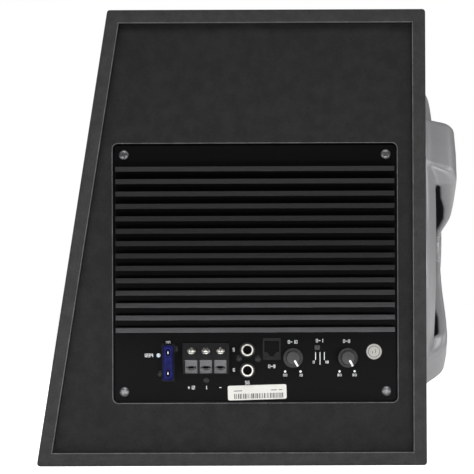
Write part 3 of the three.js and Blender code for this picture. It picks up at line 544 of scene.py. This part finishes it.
cap_low, cap_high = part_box("dust_cap")
cap_radius = (cap_high.y - cap_low.y) / 2 / MM
cap_base = (cap_low.x - BAFFLE_X) / MM
cap_rise = (cap_high.x - cap_low.x) / MM
angle = np.linspace(0, np.pi / 2, 14)
dome = np.stack([cap_radius * np.cos(angle) + 1e-3, cap_base + cap_rise * np.sin(angle)], -1)
under = np.array([[1e-3, cap_base - 0.8], [cap_radius * 0.97, cap_base - 0.8]])
points, faces = turned(np.vstack([under, dome]), 96)
make_piece("domed_cap", in_woofer(points), faces, pulp, "cone_assembly", "paper_cone", ("dust_cap",))

surround_low, surround_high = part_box("surround")
surround_outer = (surround_high.y - surround_low.y) / 2 / MM
surround_base = (surround_low.x - BAFFLE_X) / MM
SURROUND_WALL = 1.0
LANDING = 5.0
roll_width = (surround_outer - LANDING - cone_radius) / 2
roll_middle = cone_radius + roll_width
roll_height = (surround_high.x - surround_low.x) / MM - SURROUND_WALL
angle = np.linspace(np.pi, 0, 25)
roll = np.stack(
    [roll_middle + roll_width * np.cos(angle), surround_base + roll_height * np.sin(angle)], -1
)
skin = np.vstack([[cone_radius - 3.5, surround_base], roll, [surround_outer, surround_base]])
skin_top = skin + (0, SURROUND_WALL)
points, faces = turned(np.vstack([skin, skin_top[::-1]]), 128, loop=True)
make_piece("half_roll_surround", in_woofer(points), faces, butyl, slot="rubber",
           instead_of=("surround",))

# ---------------------------------------------------------------- guard
# One moulding of ABS, sprayed satin silver: a ring that hides the woofer's flange, and four
# broad arms that climb steeply from it, turn over a soft shoulder and fall to a round hub.

silver, silver_tree, silver_shader = new_material(
    "satin_silver_paint", "#9b9b9d", 0.4, 0.4, Coat_Weight=0.15, Coat_Roughness=0.25
)
flakes = object_noise(silver_tree, 0.35, 2.0)
two_tone(silver_tree, silver_shader, flakes, "#929294", "#a7a7a9")
bump(silver_tree, silver_shader, object_noise(silver_tree, 1.6, 2.0), 0.02, 0.5)

CARPET_FACE = (front_x * MM - BAFFLE_X) / MM
RING_TOP = CARPET_FACE + 13
RING_INNER = 117.0
ring_profile = [
    (RING_INNER, 6.6), (ring_outer - 7.5, 6.6), (ring_outer - 7.2, CARPET_FACE + 0.3),
    (ring_outer, CARPET_FACE + 0.3), (ring_outer, CARPET_FACE + 3.4),
    (ring_outer - 0.7, CARPET_FACE + 4.8), (ring_outer - 4, RING_TOP - 5.6),
    (ring_outer - 9, RING_TOP - 3.2), (ring_outer - 13, RING_TOP - 1.1),
    (RING_INNER + 4.5, RING_TOP - 0.1), (RING_INNER + 2.4, RING_TOP),
    (RING_INNER + 0.8, RING_TOP - 0.6), (RING_INNER, RING_TOP - 2),
]
ring_mesh = turned(ring_profile, 160, loop=True)

HUB_TOP = CARPET_FACE + 22
HUB_RADIUS = 36.0
hub_profile = [
    (1e-3, HUB_TOP - 5), (HUB_RADIUS - 0.6, HUB_TOP - 5), (HUB_RADIUS, HUB_TOP - 4.4),
    (HUB_RADIUS, HUB_TOP - 0.4), (HUB_RADIUS - 1.5, HUB_TOP + 0.9), (HUB_RADIUS - 4, HUB_TOP + 1.4),
    (HUB_RADIUS - 9, HUB_TOP + 1.3), (24.8, HUB_TOP + 0.8), (24.3, HUB_TOP), (1e-3, HUB_TOP),
]
hub_mesh = turned(hub_profile, 96)


def swung(points, angle):
    """Points turned by an angle about the third axis."""
    c, s = math.cos(angle), math.sin(angle)
    return np.asarray(points) @ np.array([[c, s, 0], [-s, c, 0], [0, 0, 1]])


def smooth_path(points, steps):
    """A Catmull-Rom curve through the points, evenly stepped between each pair."""
    points = np.asarray(points, float)
    padded = np.vstack([2 * points[0] - points[1], points, 2 * points[-1] - points[-2]])
    t = np.linspace(0, 1, steps, endpoint=False)[None, :, None]
    a, b, c, d = (padded[i : len(padded) - 3 + i, None] for i in range(4))
    curve = 0.5 * (2 * b + (c - a) * t + (2 * a - 5 * b + 4 * c - d) * t**2
                   + (3 * b - a - 3 * c + d) * t**3)
    return np.vstack([curve.reshape(-1, points.shape[1]), points[-1:]])


WIDTH_STATIONS = [30, 60, ring_outer - 25, ring_outer - 13, ring_outer]
ARM_EDGE = 6.0
ARM_CROWN = 0.5


def arm_mesh(elevation, side, rise, reach, widths):
    """An arm: at each station along its top line, a section of a crowned top and deep side
    walls. The top line climbs from the hub by the rise at each radius, turns over a soft
    shoulder and drops to the ring. The underside follows the reach, a height at each radius,
    and the half width goes through the widths at their stations."""
    inner = [(radius, CARPET_FACE + height) for radius, height in rise]
    peak = inner[-1][1]
    top = smooth_path(
        [(8, HUB_TOP - 0.4), *inner, (ring_outer - 18.5, peak - 1.3), (ring_outer - 13, peak - 5.5),
         (ring_outer - 8.5, (peak + CARPET_FACE) / 2 + 1), (ring_outer - 5, RING_TOP - 4.5),
         (ring_outer - 1.5, CARPET_FACE + 4.2)], 8)
    radius = top[:, 0]
    under = CARPET_FACE + np.interp(radius, *zip(*reach, (RING_INNER, 7.5), (ring_outer, 1)))
    half = np.interp(radius, WIDTH_STATIONS, widths)
    soft = np.clip((top[:, 1] - under) * 0.4, 0.4, ARM_EDGE)
    turn = np.linspace(0, np.pi / 2, 6)
    across = half[:, None] - soft[:, None] * (1 - np.cos(turn))[None]
    tall = top[:, 1, None] - soft[:, None] * (1 - np.sin(turn))[None]
    rows = [np.stack([half, under], -1)[:, None], np.stack([across, tall], -1)]
    right = np.concatenate(rows, 1)
    middle = np.stack([np.zeros_like(half), top[:, 1] + ARM_CROWN], -1)[:, None]
    left = right[:, ::-1] * (-1, 1)
    section = np.concatenate([right, middle, left], 1)
    rings = np.stack(
        [np.broadcast_to(radius[:, None], section.shape[:2]), section[..., 0], section[..., 1]], -1
    )
    return loft(swung(rings, side * math.radians(90 + elevation)))


def merged(parts):
    """Several (points, faces) meshes as one."""
    points, faces, offset = [], [], 0
    for more_points, more_faces in parts:
        points.append(np.asarray(more_points))
        faces += [[i + offset for i in face] for face in more_faces]
        offset += len(more_points)
    return np.vstack(points), faces


# Heights above the carpet at each radius: the top line, then the underside.
UPPER_RISE = [(30, 22.2), (45, 26.0), (60, 29.4), (82, 31.0), (100, 31.6), (ring_outer - 25, 31.7)]
LOWER_RISE = [(30, 22.0), (60, 23.0), (82, 24.4), (100, 25.1), (ring_outer - 27, 25.1)]
UPPER_REACH = [(38, 17), (46, 19.5), (60, 22.5), (78, 21.5), (93, 18), (110, 17)]
LOWER_REACH = [(42, 17), (50, 13.5), (80, 13.5), (93, 17), (110, 17)]
ARMS = (
    (38, UPPER_RISE, UPPER_REACH, (21, 25, 31, 28, 24)),
    (-60, LOWER_RISE, LOWER_REACH, (16, 18, 26, 25, 23)),
)
arm_parts = [arm_mesh(angle, side, *shape) for angle, *shape in ARMS for side in (1, -1)]
points, faces = merged([ring_mesh, hub_mesh, *arm_parts])
guard = make_piece("silver_guard", in_woofer(points), faces, silver, slot="silver_plastic",
                   instead_of=("guard",))
remesh = guard.modifiers.new("join", "REMESH")
remesh.mode = "VOXEL"
remesh.voxel_size = 1.0 * MM
remesh.use_smooth_shade = True
soften = guard.modifiers.new("soften", "SMOOTH")
soften.iterations = 8
soften.factor = 0.5
apply_modifiers(guard)

badge_profile = [
    (1e-3, HUB_TOP + 0.1), (23.4, HUB_TOP + 0.1), (23.75, HUB_TOP + 0.4), (23.4, HUB_TOP + 0.9),
    (21.5, HUB_TOP + 1.2), (20.6, HUB_TOP + 0.7), (12, HUB_TOP + 0.9), (1e-3, HUB_TOP + 1.1),
]
points, faces = turned(badge_profile, 96)
make_piece("round_badge", in_woofer(points), faces, abs_black, slot="black_plastic",
           instead_of=("guard_badge",))

# ---------------------------------------------------------------- cross-head screws
# Pan-head screws with a cross recess: black ones hold the guard, nickel ones hold the plate.

nickel = grained("bright_nickel", "#a9a7a2", "#c4c2bc", 0.3, 1.2, 0.008, 1.0)
dark_nickel = grained("dark_nickel", "#5c5c5d", "#707072", 0.38, 1.2, 0.01, 0.9)
black_zinc = grained("black_zinc", "#1a1a1c", "#262628", 0.4, 0.8, 0.01, 0.8)


def block(width, tall, low, high, centre=(0, 0), soft=0.0):
    """A box on a plate, from low to high, with its upright and upper edges rounded."""
    corner = max(soft, 0.02)
    profile = edge_round(corner, low, high)
    return loft(slab(rectangle(width, tall, centre), corner, profile, 3))


def screw_head(radius, tall, low):
    """A domed head: a flat foot, an upright edge and a shallow elliptic top."""
    angle = np.linspace(0.25, np.pi / 2, 9)
    dome = np.stack([radius * np.cos(angle) / math.cos(0.25) + 1e-3, low + tall * np.sin(angle)], -1)
    return turned(np.vstack([[1e-3, low - 1], [radius, low - 1], dome]), 40)


def cross_screw(name, nodes, radius, tall, low, place, to_row, material, slot, spin, body="cabinet"):
    """A screw head with two crossed recesses, turned by the spin and put in place by to_row."""
    reach, wide = radius * 1.25, radius * 0.3
    recess_low, recess_high = low + tall * 0.45, low + 3 * tall

    def set_down(part):
        points, faces = part
        return to_row(swung(points, spin) + np.array([*place, 0.0])), faces

    head = set_down(screw_head(radius, tall, low))
    recesses = [block(reach, wide, recess_low, recess_high), block(wide, reach, recess_low, recess_high)]
    made = make_piece(name, *head, material, body, slot, nodes)
    return carve(made, [set_down(recess) for recess in recesses])


def plate_centre(node):
    """A CAD node's middle on the plate, in plate millimetres."""
    low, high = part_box(node)
    return np.array([(low.x + high.x) / 2 - AMP_X, (low.z + high.z) / 2 - AMP_Z]) / MM


for i in range(1, 5):
    low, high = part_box(f"guard_screw_{i}")
    place = (WOOFER_Z / MM - (low.z + high.z) / 2 / MM, (low.y + high.y) / 2 / MM - WOOFER_Y / MM)
    # The head sinks into the sloping face of the ring.
    seat = np.interp(np.hypot(*place), [RING_INNER + 4.5, ring_outer - 9, ring_outer - 4],
                     [RING_TOP - 0.1, RING_TOP - 3.2, RING_TOP - 5.6])
    cross_screw(f"guard_screw_head_{i}", (f"guard_screw_{i}",), 4.0, 2.4, seat - 2.2, place,
                in_woofer, black_zinc, "black_steel", 0.3 * i)
    cross_screw(f"plate_screw_{i}", (f"amp_screw_{i}",), 4.3, 2.4, 0.2,
                plate_centre(f"amp_screw_{i}"), in_amp, dark_nickel, "nickel", 0.35 * i)

# ---------------------------------------------------------------- finned amplifier plate
# Extruded aluminium with fourteen fins, bead-blasted and anodised satin black. The flat tips of
# the fins get a bright mirror-like metal, a painted highlight so that they catch the light; the plain
# band and panel stay dark.

anodised, anodised_tree, anodised_shader = new_material(
    "satin_black_anodised_aluminium", "#08080a", 0.42, Specular_IOR_Level=0.04
)
blast = object_noise(anodised_tree, 0.5, 2.0)
two_tone(anodised_tree, anodised_shader, blast, "#070708", "#0b0b0c")
bump(anodised_tree, anodised_shader, blast, 0.01, 0.4)
# The tips' bright metal is a painted highlight: a lighter copy of the fin's aluminium so that the tips
# show lit.
tips, tips_tree, tips_shader = new_material("fin_tips_painted_bright", "#808082", 0.1, 1.0)
drawn = object_noise(tips_tree, 0.4, 3.0, (0.02, 1, 1))
two_tone(tips_tree, tips_shader, drawn, "#78787a", "#88888a")
bump(tips_tree, tips_shader, drawn, 0.001, 0.2)

FIN_COUNT = 14
FIN_PITCH = 10.32
FIN_THICK = 4.5
FIN_HEIGHT = 7.0
TOP_BAND = 18.0
FIN_INSET = 1.0
FIN_EDGE = 0.35
FIN_ROOT = 0.5
first_fin = PLATE_SIZE[1] / 2 - TOP_BAND - FIN_THICK / 2
fin_places = [(0, first_fin - i * FIN_PITCH) for i in range(FIN_COUNT)]


def fin(place):
    """A fin: a bar across the plate, with softened edges. A last ring just inside them keeps
    the shading of the tip flat."""
    width = PLATE_SIZE[0] - 2 * FIN_INSET
    profile = [*edge_round(FIN_EDGE, -FIN_ROOT, FIN_HEIGHT, 4), (FIN_EDGE + 0.03, FIN_HEIGHT)]
    return loft(slab(rectangle(width, FIN_THICK, place), 0.5, profile, 2))


# The plate and its fins are one extrusion. They are two meshes, so that the plate can be cut.
plate_shape = slab(rectangle(*PLATE_SIZE), PLATE_CORNER, edge_round(0.5, -AMP_PLATE, 0))
amp_plate = make_piece("finned_plate", *loft(in_amp(plate_shape)), anodised,
                       slot="black_aluminium", instead_of=("amp_plate",))
points, faces = merged([fin(place) for place in fin_places])
fins = make_piece("cooling_fins", in_amp(points), faces, anodised, slot="black_aluminium")
fins.data.materials.append(tips)
centres = np.array([face.center for face in fins.data.polygons])
is_tip = centres[:, 1] < AMP_FACE - (FIN_HEIGHT - 0.01) * MM
fins.data.polygons.foreach_set("material_index", is_tip.astype(np.int32))

# ---------------------------------------------------------------- fuse and holder
# A large blade fuse: a dark blue polycarbonate body over two tin-plated blades, standing in a
# black holder. Two bare probe points show in its face, and the rating is a raised mark.

low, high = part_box("fuse")
FUSE_SIZE = ((high.x - low.x) / MM, (high.z - low.z) / MM)
FUSE_TOP = (AMP_FACE - low.y) / MM
FUSE_FOOT = 3.0
blue_body, blue_tree, blue_shader = new_material(
    "blue_polycarbonate", "#101244", 0.45, Specular_IOR_Level=0.06
)
two_tone(blue_tree, blue_shader, object_noise(blue_tree, 5.0), "#10123e", "#191c56")
tin = grained("tinned_blade", "#b6b7bb", "#d4d5d8", 0.35, 1.0, 0.01, 1.0)
fuse_at = plate_centre("fuse")


def placed(parts, place):
    """Parts merged, moved to a place on the plate and put in the row frame."""
    points, faces = merged(parts)
    return in_amp(points + np.array([*place, 0.0])), faces


fuse_body = block(*FUSE_SIZE, FUSE_FOOT, FUSE_TOP - 1.2, soft=1.0)
fuse_step = block(FUSE_SIZE[0] - 1.8, FUSE_SIZE[1] - 1.8, FUSE_TOP - 2, FUSE_TOP, soft=0.6)
make_piece("blue_fuse_body", *placed([fuse_body], fuse_at), blue_body, "fuse",
           "blue_plastic", ("fuse",))
face_of_fuse = make_piece("blue_fuse_face", *placed([fuse_step], fuse_at), blue_body, "fuse",
                          "blue_plastic")
# A round-ended well over each blade leaves a probe point bare.
BLADES_AT = ((0, 8.6), (0, -8.6))
wells = [block(3.2, 5.4, FUSE_TOP - 1.2, FUSE_TOP + 2, place, 1.55) for place in BLADES_AT]
carve(face_of_fuse, [placed([well], fuse_at) for well in wells])
bars = [block(0.9, 3.6, FUSE_TOP - 0.2, FUSE_TOP + 0.15, (x, 0), 0.3) for x in (-1.6, 0, 1.6)]
make_piece("fuse_rating_bars", *placed(bars, fuse_at), blue_body, "fuse", "blue_plastic")
probes = [block(1.1, 2.8, FUSE_TOP - 1.6, FUSE_TOP - 0.5, place, 0.5) for place in BLADES_AT]
BLADE_LENGTH = 15
blades = [block(0.8, 6.3, FUSE_FOOT - BLADE_LENGTH, FUSE_FOOT + 1, place, 0.2) for place in BLADES_AT]
make_piece("fuse_blades_and_probes", *placed(probes + blades, fuse_at), tin, "fuse", "steel")

frame_size = (FUSE_SIZE[0] + 2.0, FUSE_SIZE[1] + 2.0)
holder_rim = slab(rectangle(*frame_size), 1.2, [(1.2, -1), (0, -1), (0, 1.6), (0.3, 2), (1.2, 2)])
holder_floor = block(FUSE_SIZE[0] + 0.8, 2.2, -1, FUSE_FOOT - 0.3, (0, 0), 0.4)
moulded_black = grained(
    "moulded_matt_black", "#0f0f10", "#161617", 0.65, 0.5, 0.02, Specular_IOR_Level=0.2
)
finish_node("fuse_holder", moulded_black)
make_piece("fuse_holder_rim", *placed([loft(holder_rim, loop=True), holder_floor], fuse_at),
           moulded_black, slot="black_plastic")

# ---------------------------------------------------------------- power terminals
# A moulded ridge with three poles. The screws stand square to the upper slope in round pockets,
# and the wires enter the lower slope through round mouths, each with a bent nickel rim.

glass_filled = grained(
    "glass_filled_nylon", "#161618", "#202022", 0.55, 0.5, 0.02, Specular_IOR_Level=0.2
)
finish_node("terminal_block", glass_filled)
POLE_PITCH = 12.1
SLOPE = math.pi / 4
terminal_at = plate_centre("terminal_block")
RIDGE = (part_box("terminal_block")[1].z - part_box("terminal_block")[0].z) / 2 / MM
RIDGE_BASE = 2.0
poles = [(i - 1) * POLE_PITCH for i in range(3)]
BLOCK_WIDTH = (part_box("terminal_block")[1].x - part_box("terminal_block")[0].x) / MM
through_plate = block(BLOCK_WIDTH - 2.4, 2 * RIDGE - 2.4, -AMP_PLATE - 1, 1)
carve(amp_plate, [placed([through_plate], terminal_at)])


def on_slope(points, pole, up=1):
    """Millimetres (across, along the slope, out of it) on the block's upper or lower slope."""
    points = np.asarray(points, float)
    along, out = points[..., 1], points[..., 2]
    rise = RIDGE / 2 + along * math.cos(SLOPE) + out * math.sin(SLOPE)
    proud = RIDGE_BASE + RIDGE / 2 - along * math.sin(SLOPE) + out * math.cos(SLOPE)
    side = points[..., 0] * up
    placed_points = np.stack([side + pole + terminal_at[0], rise * up + terminal_at[1], proud], -1)
    return in_amp(placed_points)


for i, pole in enumerate(poles, 1):
    cross_screw(f"terminal_screw_head_{i}", (f"terminal_screw_{i}",), 4.0, 1.9, 0.1, (0, 0),
                lambda points, pole=pole: on_slope(points, pole), nickel, "nickel",
                0.5 + 0.9 * i, f"terminal_screw_{i}")
    finish_node(f"terminal_clamp_{i}", zinc)

# The wire-entry faces are a light grey copy of the block's dark nylon: painted light, for the slope
# catching the light.
lit_nylon_face = grained("nylon_face_painted_lit", "#5c5c5e", "#6c6c6e", 0.5, 0.5, 0.02)
SLOPE_LENGTH = RIDGE * math.sqrt(2)
FACE_SIZE = (10.6, SLOPE_LENGTH - 2.6)


def half_disc(across, tall, place, start):
    """A cutter with half an ellipse for its section, whose arc begins at the start angle."""
    angle = start + np.linspace(0, np.pi, 25)
    arc = np.stack([across * np.cos(angle), tall * np.sin(angle)], -1) + place
    return loft([np.hstack([arc, np.full((len(arc), 1), level)]) for level in (-3, 3)])


def bent_strip(reach, rise, foot):
    """A flat wire bent into an arc that reaches out and rises by these from its foot."""
    angle = np.linspace(math.radians(20), math.radians(160), 17)
    away = np.stack([np.cos(angle), np.sin(angle)], -1)
    line = away * (reach, rise) + foot
    section = np.array([[-0.45, -0.5], [0.45, -0.5], [0.45, 0.3], [-0.45, 0.3]])
    rings = np.empty((len(angle), len(section), 3))
    rings[..., :2] = line[:, None] + away[:, None] * section[:, :1]
    rings[..., 2] = section[:, 1]
    return loft(rings)


def below(part, pole):
    """A part laid on the block's lower slope at one pole."""
    points, faces = part
    return on_slope(points, pole, -1), faces


MOUTH_BELOW = half_disc(4.1, 3.9, (0, 0.2), 0)
MOUTH_ABOVE = half_disc(4.1, 1.4, (0, 0.25), np.pi)
MOUTH_RIM = bent_strip(3.4, 2.6, (0, 0.2))
for i, pole in enumerate(poles, 1):
    entry_face = below(block(*FACE_SIZE, -0.1, 0.55, (0, 0), 0.5), pole)
    face = make_piece(f"wire_entry_face_{i}", *entry_face, lit_nylon_face, slot="black_plastic")
    carve(face, [below(MOUTH_BELOW, pole), below(MOUTH_ABOVE, pole)])
    make_piece(f"wire_mouth_rim_{i}", *below(MOUTH_RIM, pole), nickel, slot="steel")

# ---------------------------------------------------------------- phono sockets
# Turned brass rings in bright nickel plate, round a black insulator.

PHONO_OUTER = 5.2
PHONO_INNER = 3.6
for side in ("left", "right"):
    place = plate_centre(f"rca_socket_{side}")
    socket_top = (AMP_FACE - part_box(f"rca_socket_{side}")[0].y) / MM
    barrel = turned([(PHONO_INNER, -8), (PHONO_OUTER, -8), (PHONO_OUTER, socket_top - 0.5),
                     (PHONO_OUTER - 0.4, socket_top), (PHONO_INNER + 0.4, socket_top),
                     (PHONO_INNER, socket_top - 0.4)], 64, loop=True)
    make_piece(f"phono_ring_{side}", *placed([barrel], place), nickel, slot="nickel",
               instead_of=(f"rca_socket_{side}",))
    insulator = turned([(1.7, -8), (PHONO_INNER + 0.05, -8), (PHONO_INNER + 0.05, -2.5), (1.7, -2.5)],
                       48, loop=True)
    collar = turned([(PHONO_OUTER - 0.1, -0.2), (PHONO_OUTER + 1.2, -0.2), (PHONO_OUTER + 1.2, 1.2),
                     (PHONO_OUTER + 0.9, 1.6), (PHONO_OUTER - 0.1, 1.6)], 64, loop=True)
    make_piece(f"phono_insulator_{side}", *placed([insulator, collar], place), abs_black,
               slot="black_plastic")

# ---------------------------------------------------------------- remote control socket
# A six-way modular socket: a black shell with a stepped mouth and gold spring contacts.

finish_node("remote_socket", moulded_black)
gold = grained("gold_flashed_contacts", "#a97f2c", "#cba24a", 0.3, 0.5, 0.01, 1.0)
link_at = plate_centre("remote_socket")
contacts = [block(0.5, 4.5, -8, -5.5, (x, 3.0), 0.15) for x in np.arange(-2.5, 2.6, 1.0)]
make_piece("remote_contacts", *placed(contacts, link_at), gold, slot="nickel")

# ---------------------------------------------------------------- control knobs
# Two moulded ABS knobs: a wide skirt, a fluted grip with a softened top edge, and a white
# pointer let into the top. Both rest at their clockwise stop.

white_paint = grained("white_screen_ink", "#dcdcdc", "#f0f0f0", 0.7, 0.3, 0.005)
KNOB_SKIRT = 8.3
KNOB_GRIP = 6.25
KNOB_BASE = 1.3
FLUTES = 18
FLUTE_DEPTH = 0.55
POINTER_ANGLE = math.radians(-60)


def fluted(profile, flutes, depth, count):
    """A turned profile of (radius, height, share) points, cut by flutes round it. A flute takes
    its depth times the share off the radius."""
    profile = np.asarray(profile, float)
    angle = np.linspace(0, 2 * np.pi, count, endpoint=False)
    dip = depth * (0.5 + 0.5 * np.cos(flutes * angle)) ** 2
    radius = np.maximum(profile[:, :1] - dip[None] * profile[:, 2:3], 1e-3)
    tall = np.broadcast_to(profile[:, 1:2], radius.shape)
    return loft(np.stack([radius * np.cos(angle), radius * np.sin(angle), tall], -1))


knob_black = grained("soft_touch_black", "#232324", "#2d2d2e", 0.6, 0.5, 0.02)
for name in ("level", "frequency"):
    place = plate_centre(f"{name}_knob")
    top = (AMP_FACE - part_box(f"{name}_knob")[0].y) / MM
    skirt = turned([(1e-3, KNOB_BASE), (KNOB_SKIRT - 0.3, KNOB_BASE), (KNOB_SKIRT, KNOB_BASE + 0.3),
                    (KNOB_SKIRT, KNOB_BASE + 1.3), (KNOB_SKIRT - 0.5, KNOB_BASE + 1.9),
                    (KNOB_GRIP + 0.4, KNOB_BASE + 2.4), (KNOB_GRIP - 1, KNOB_BASE + 2.4),
                    (1e-3, KNOB_BASE + 2.4)], 72)
    grip = fluted([(KNOB_GRIP + 0.25, KNOB_BASE + 2, 1), (KNOB_GRIP + 0.1, top - 1.6, 1),
                   (KNOB_GRIP - 0.3, top - 0.7, 0.8), (KNOB_GRIP - 1.0, top - 0.15, 0.3),
                   (KNOB_GRIP - 1.6, top, 0), (1e-3, top, 0)], FLUTES, FLUTE_DEPTH, 216)
    shaft = turned([(1e-3, -9), (2.9, -9), (2.9, KNOB_BASE + 1), (1e-3, KNOB_BASE + 1)], 32)
    make_piece(f"{name}_knob_cap", *placed([skirt, grip, shaft], place), knob_black,
               f"{name}_knob", "black_plastic", (f"{name}_knob",))
    grip_mark = block(4.2, 1.8, top - 0.3, top + 0.25, (4.1, 0), 0.4)
    skirt_mark = block(2.0, 1.8, KNOB_BASE + 1.5, KNOB_BASE + 2.62, (7.1, 0), 0.4)
    points, faces = merged([grip_mark, skirt_mark])
    pointer = swung(points, POINTER_ANGLE), faces
    make_piece(f"{name}_pointer", *placed([pointer], place), white_paint, f"{name}_knob",
               "white_lens")
    finish_node(f"{name}_control", zinc)
finish_node("phase_switch", zinc)
finish_node("phase_slider", abs_black)

# ---------------------------------------------------------------- power light
# A 3 mm white diffused lens, unlit.

milky, milky_tree, milky_shader = new_material(
    "milky_acrylic", "#e8e8e6", 0.3, Subsurface_Weight=0.3, Coat_Weight=0.4
)
two_tone(milky_tree, milky_shader, object_noise(milky_tree, 2.0), "#dededc", "#efefed")
light_at = plate_centre("power_light")
LIGHT_RADIUS = (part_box("power_light")[1].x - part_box("power_light")[0].x) / 2 / MM
angle = np.linspace(0, np.pi / 2, 9)
dome = np.stack([LIGHT_RADIUS * np.cos(angle) + 1e-3, 0.3 + 1.3 * np.sin(angle)], -1)
lens = turned(np.vstack([[1e-3, -6], [LIGHT_RADIUS, -6], dome]), 40)
make_piece("light_lens", *placed([lens], light_at), milky, slot="white_lens",
           instead_of=("power_light",))

# ---------------------------------------------------------------- inside the amplifier
# A green glass-fibre board with a toroid wound in copper and two sleeved capacitors.

board_green = grained("solder_masked_board", "#0f3a22", "#17492c", 0.35, 6.0, 0.01)
sleeve = grained("capacitor_sleeve", "#1b1d33", "#232645", 0.4, 2.0, 0.01)
finish_node("circuit_board", board_green)
finish_node("power_toroid", copper_wire)
finish_node("capacitor_1", sleeve)
finish_node("capacitor_2", sleeve)

# ---------------------------------------------------------------- small screws and stickers
# Black machine screws hold the sockets and the board to the plate. A round paper seal and a
# white paper label with bars are stuck on the control panel.

PANEL_SCREWS = [(-79.2, -84), (-66.5, -63.4), (-41, -89.2), (-13.9, -71.4), (2.1, -71.9)]
for i, place in enumerate(PANEL_SCREWS):
    cross_screw(f"panel_screw_{i + 1}", (), 2.9, 1.0, 0.05, place, in_amp, black_zinc,
                "black_steel", 0.7 * i)

paper = grained("matt_label_paper", "#c0bfba", "#d0cfca", 0.8, 0.6, 0.01)
ink = grained("black_print_ink", "#3a3a3c", "#58585a", 0.7, 0.4, 0.004)
seal = turned([(1e-3, -0.05), (6.4, -0.05), (6.4, 0.12), (6.2, 0.18), (1e-3, 0.18)], 64)
seal_paper = grained("grey_seal_paper", "#989792", "#a8a7a1", 0.8, 0.6, 0.01)
SEAL_AT = (99, -66)
make_piece("round_seal", *placed([seal], SEAL_AT), seal_paper)
seal_ring = turned([(4.4, 0.1), (4.9, 0.1), (4.9, 0.24), (4.4, 0.24)], 64, loop=True)
tick = [block(0.7, 3.4, 0.1, 0.24, (1.3, 0.4), 0.2), block(0.7, 2.0, 0.1, 0.24, (-1.2, -0.6), 0.2)]
make_piece("seal_mark", *placed([seal_ring, *tick], SEAL_AT), ink)

LABEL_AT = (1.4, -99.6)
LABEL_TURN = math.radians(1.6)


def on_label(parts):
    """Parts laid on the label, which is stuck on a little askew."""
    points, faces = merged(parts)
    return in_amp(swung(points, LABEL_TURN) + np.array([*LABEL_AT, 0.0])), faces


label_body = slab(rectangle(49, 12.2), 1.5, [(0, -0.05), (0, 0.16), (0.06, 0.2)])
make_piece("paper_label", *on_label([loft(label_body)]), paper, smooth=False)
rng = np.random.default_rng(7)
widths = rng.choice([0.35, 0.6, 0.9], 34)
bar_places = -20.5 + np.cumsum(widths + rng.choice([0.35, 0.6, 0.8], 34))
bars = [block(w, 4.2, 0.15, 0.23, (x, -2.9), 0.05) for w, x in zip(widths, bar_places) if x < 21.5]
small = [block(w, 0.7, 0.15, 0.23, (x, 1.6), 0.05) for w, x in ((7, -16), (5, 14), (3, 19.5))]
make_piece("label_print", *on_label(bars + small), ink)

# ---------------------------------------------------------------- printed marks
# White screen ink on the plate: plain numbers, signs and lines beside each control.

INK_TOP = 0.06
STROKE = 0.5


def stroke(start, end, thick=STROKE):
    """A bar from one point on the plate to another."""
    start, end = np.array(start, float), np.array(end, float)
    right, up = end - start
    points, faces = block(math.hypot(right, up) + thick, thick, -0.05, INK_TOP, soft=0.02)
    return swung(points, math.atan2(up, right)) + np.array([*((start + end) / 2), 0]), faces


def dot(place, radius):
    """A small disc of ink."""
    points, faces = turned([(1e-3, -0.05), (radius, -0.05), (radius, INK_TOP), (1e-3, INK_TOP)], 24)
    return points + np.array([*place, 0]), faces


# Seven-stroke digits on a box one unit wide and two units tall.
SEGMENTS = {
    "top": ((0, 2), (1, 2)), "upper_left": ((0, 1), (0, 2)), "upper_right": ((1, 1), (1, 2)),
    "middle": ((0, 1), (1, 1)), "lower_left": ((0, 0), (0, 1)), "lower_right": ((1, 0), (1, 1)),
    "bottom": ((0, 0), (1, 0)), "stem": ((0.5, 0.3), (0.5, 1.7)),
}
DIGITS = {
    "0": ("top", "upper_left", "upper_right", "lower_left", "lower_right", "bottom"),
    "1": ("upper_right", "lower_right"),
    "2": ("top", "upper_right", "middle", "lower_left", "bottom"),
    "3": ("top", "upper_right", "middle", "lower_right", "bottom"),
    "4": ("upper_left", "upper_right", "middle", "lower_right"),
    "5": ("top", "upper_left", "middle", "lower_right", "bottom"),
    "6": ("top", "upper_left", "middle", "lower_left", "lower_right", "bottom"),
    "7": ("top", "upper_right", "lower_right"),
    "8": ("top", "upper_left", "upper_right", "middle", "lower_left", "lower_right", "bottom"),
    "9": ("top", "upper_left", "upper_right", "middle", "lower_right", "bottom"),
    "-": ("middle",),
    "+": ("middle", "stem"),
}


def number(text, place, tall=2.4, wide=1.25, gap=0.85):
    """Digits of a given height, centred on a place."""
    total = len(text) * wide + (len(text) - 1) * gap
    strokes = []
    for i, character in enumerate(text):
        left = place[0] - total / 2 + i * (wide + gap)
        for name in DIGITS[character]:
            ends = [(left + x * wide, place[1] + (y / 2 - 0.5) * tall) for x, y in SEGMENTS[name]]
            strokes.append(stroke(*ends))
    return strokes


NUMBERS = {
    "1234": (-89.5, -68.5), "20": (-72.9, -58.1), "+12": (-53.5, -95.5), "1": (-41.4, -95.5),
    "-": (-29.3, -95.5), "5": (-18.1, -64), "6": (-18, -80.9), "56": (-6.8, -91.5),
    "0-9": (13.6, -78.0), "0-10": (31.1, -57.7), "0-1": (53.5, -56.7), "0-8": (76.1, -57.2),
}
marks = [part for text, place in NUMBERS.items() for part in number(text, place)]
for x, text in ((24.8, "00"), (37.6, "10"), (70.2, "50"), (82.7, "80")):
    marks += [dot((x, -82.4), 0.95), *number(text, (x, -85.4), 1.7, 1.1)]
for x, length in ((50.2, 6.0), (53.9, 10.0), (57.5, 6.0)):
    marks.append(stroke((x, -66.5), (x, -66.5 - length)))
marks += [*number("0", (48.6, -74.6), 1.7), *number("18", (59.2, -74.6), 1.7)]
points, faces = merged(marks)
make_piece("printed_marks", in_amp(points), faces, white_paint, smooth=False)
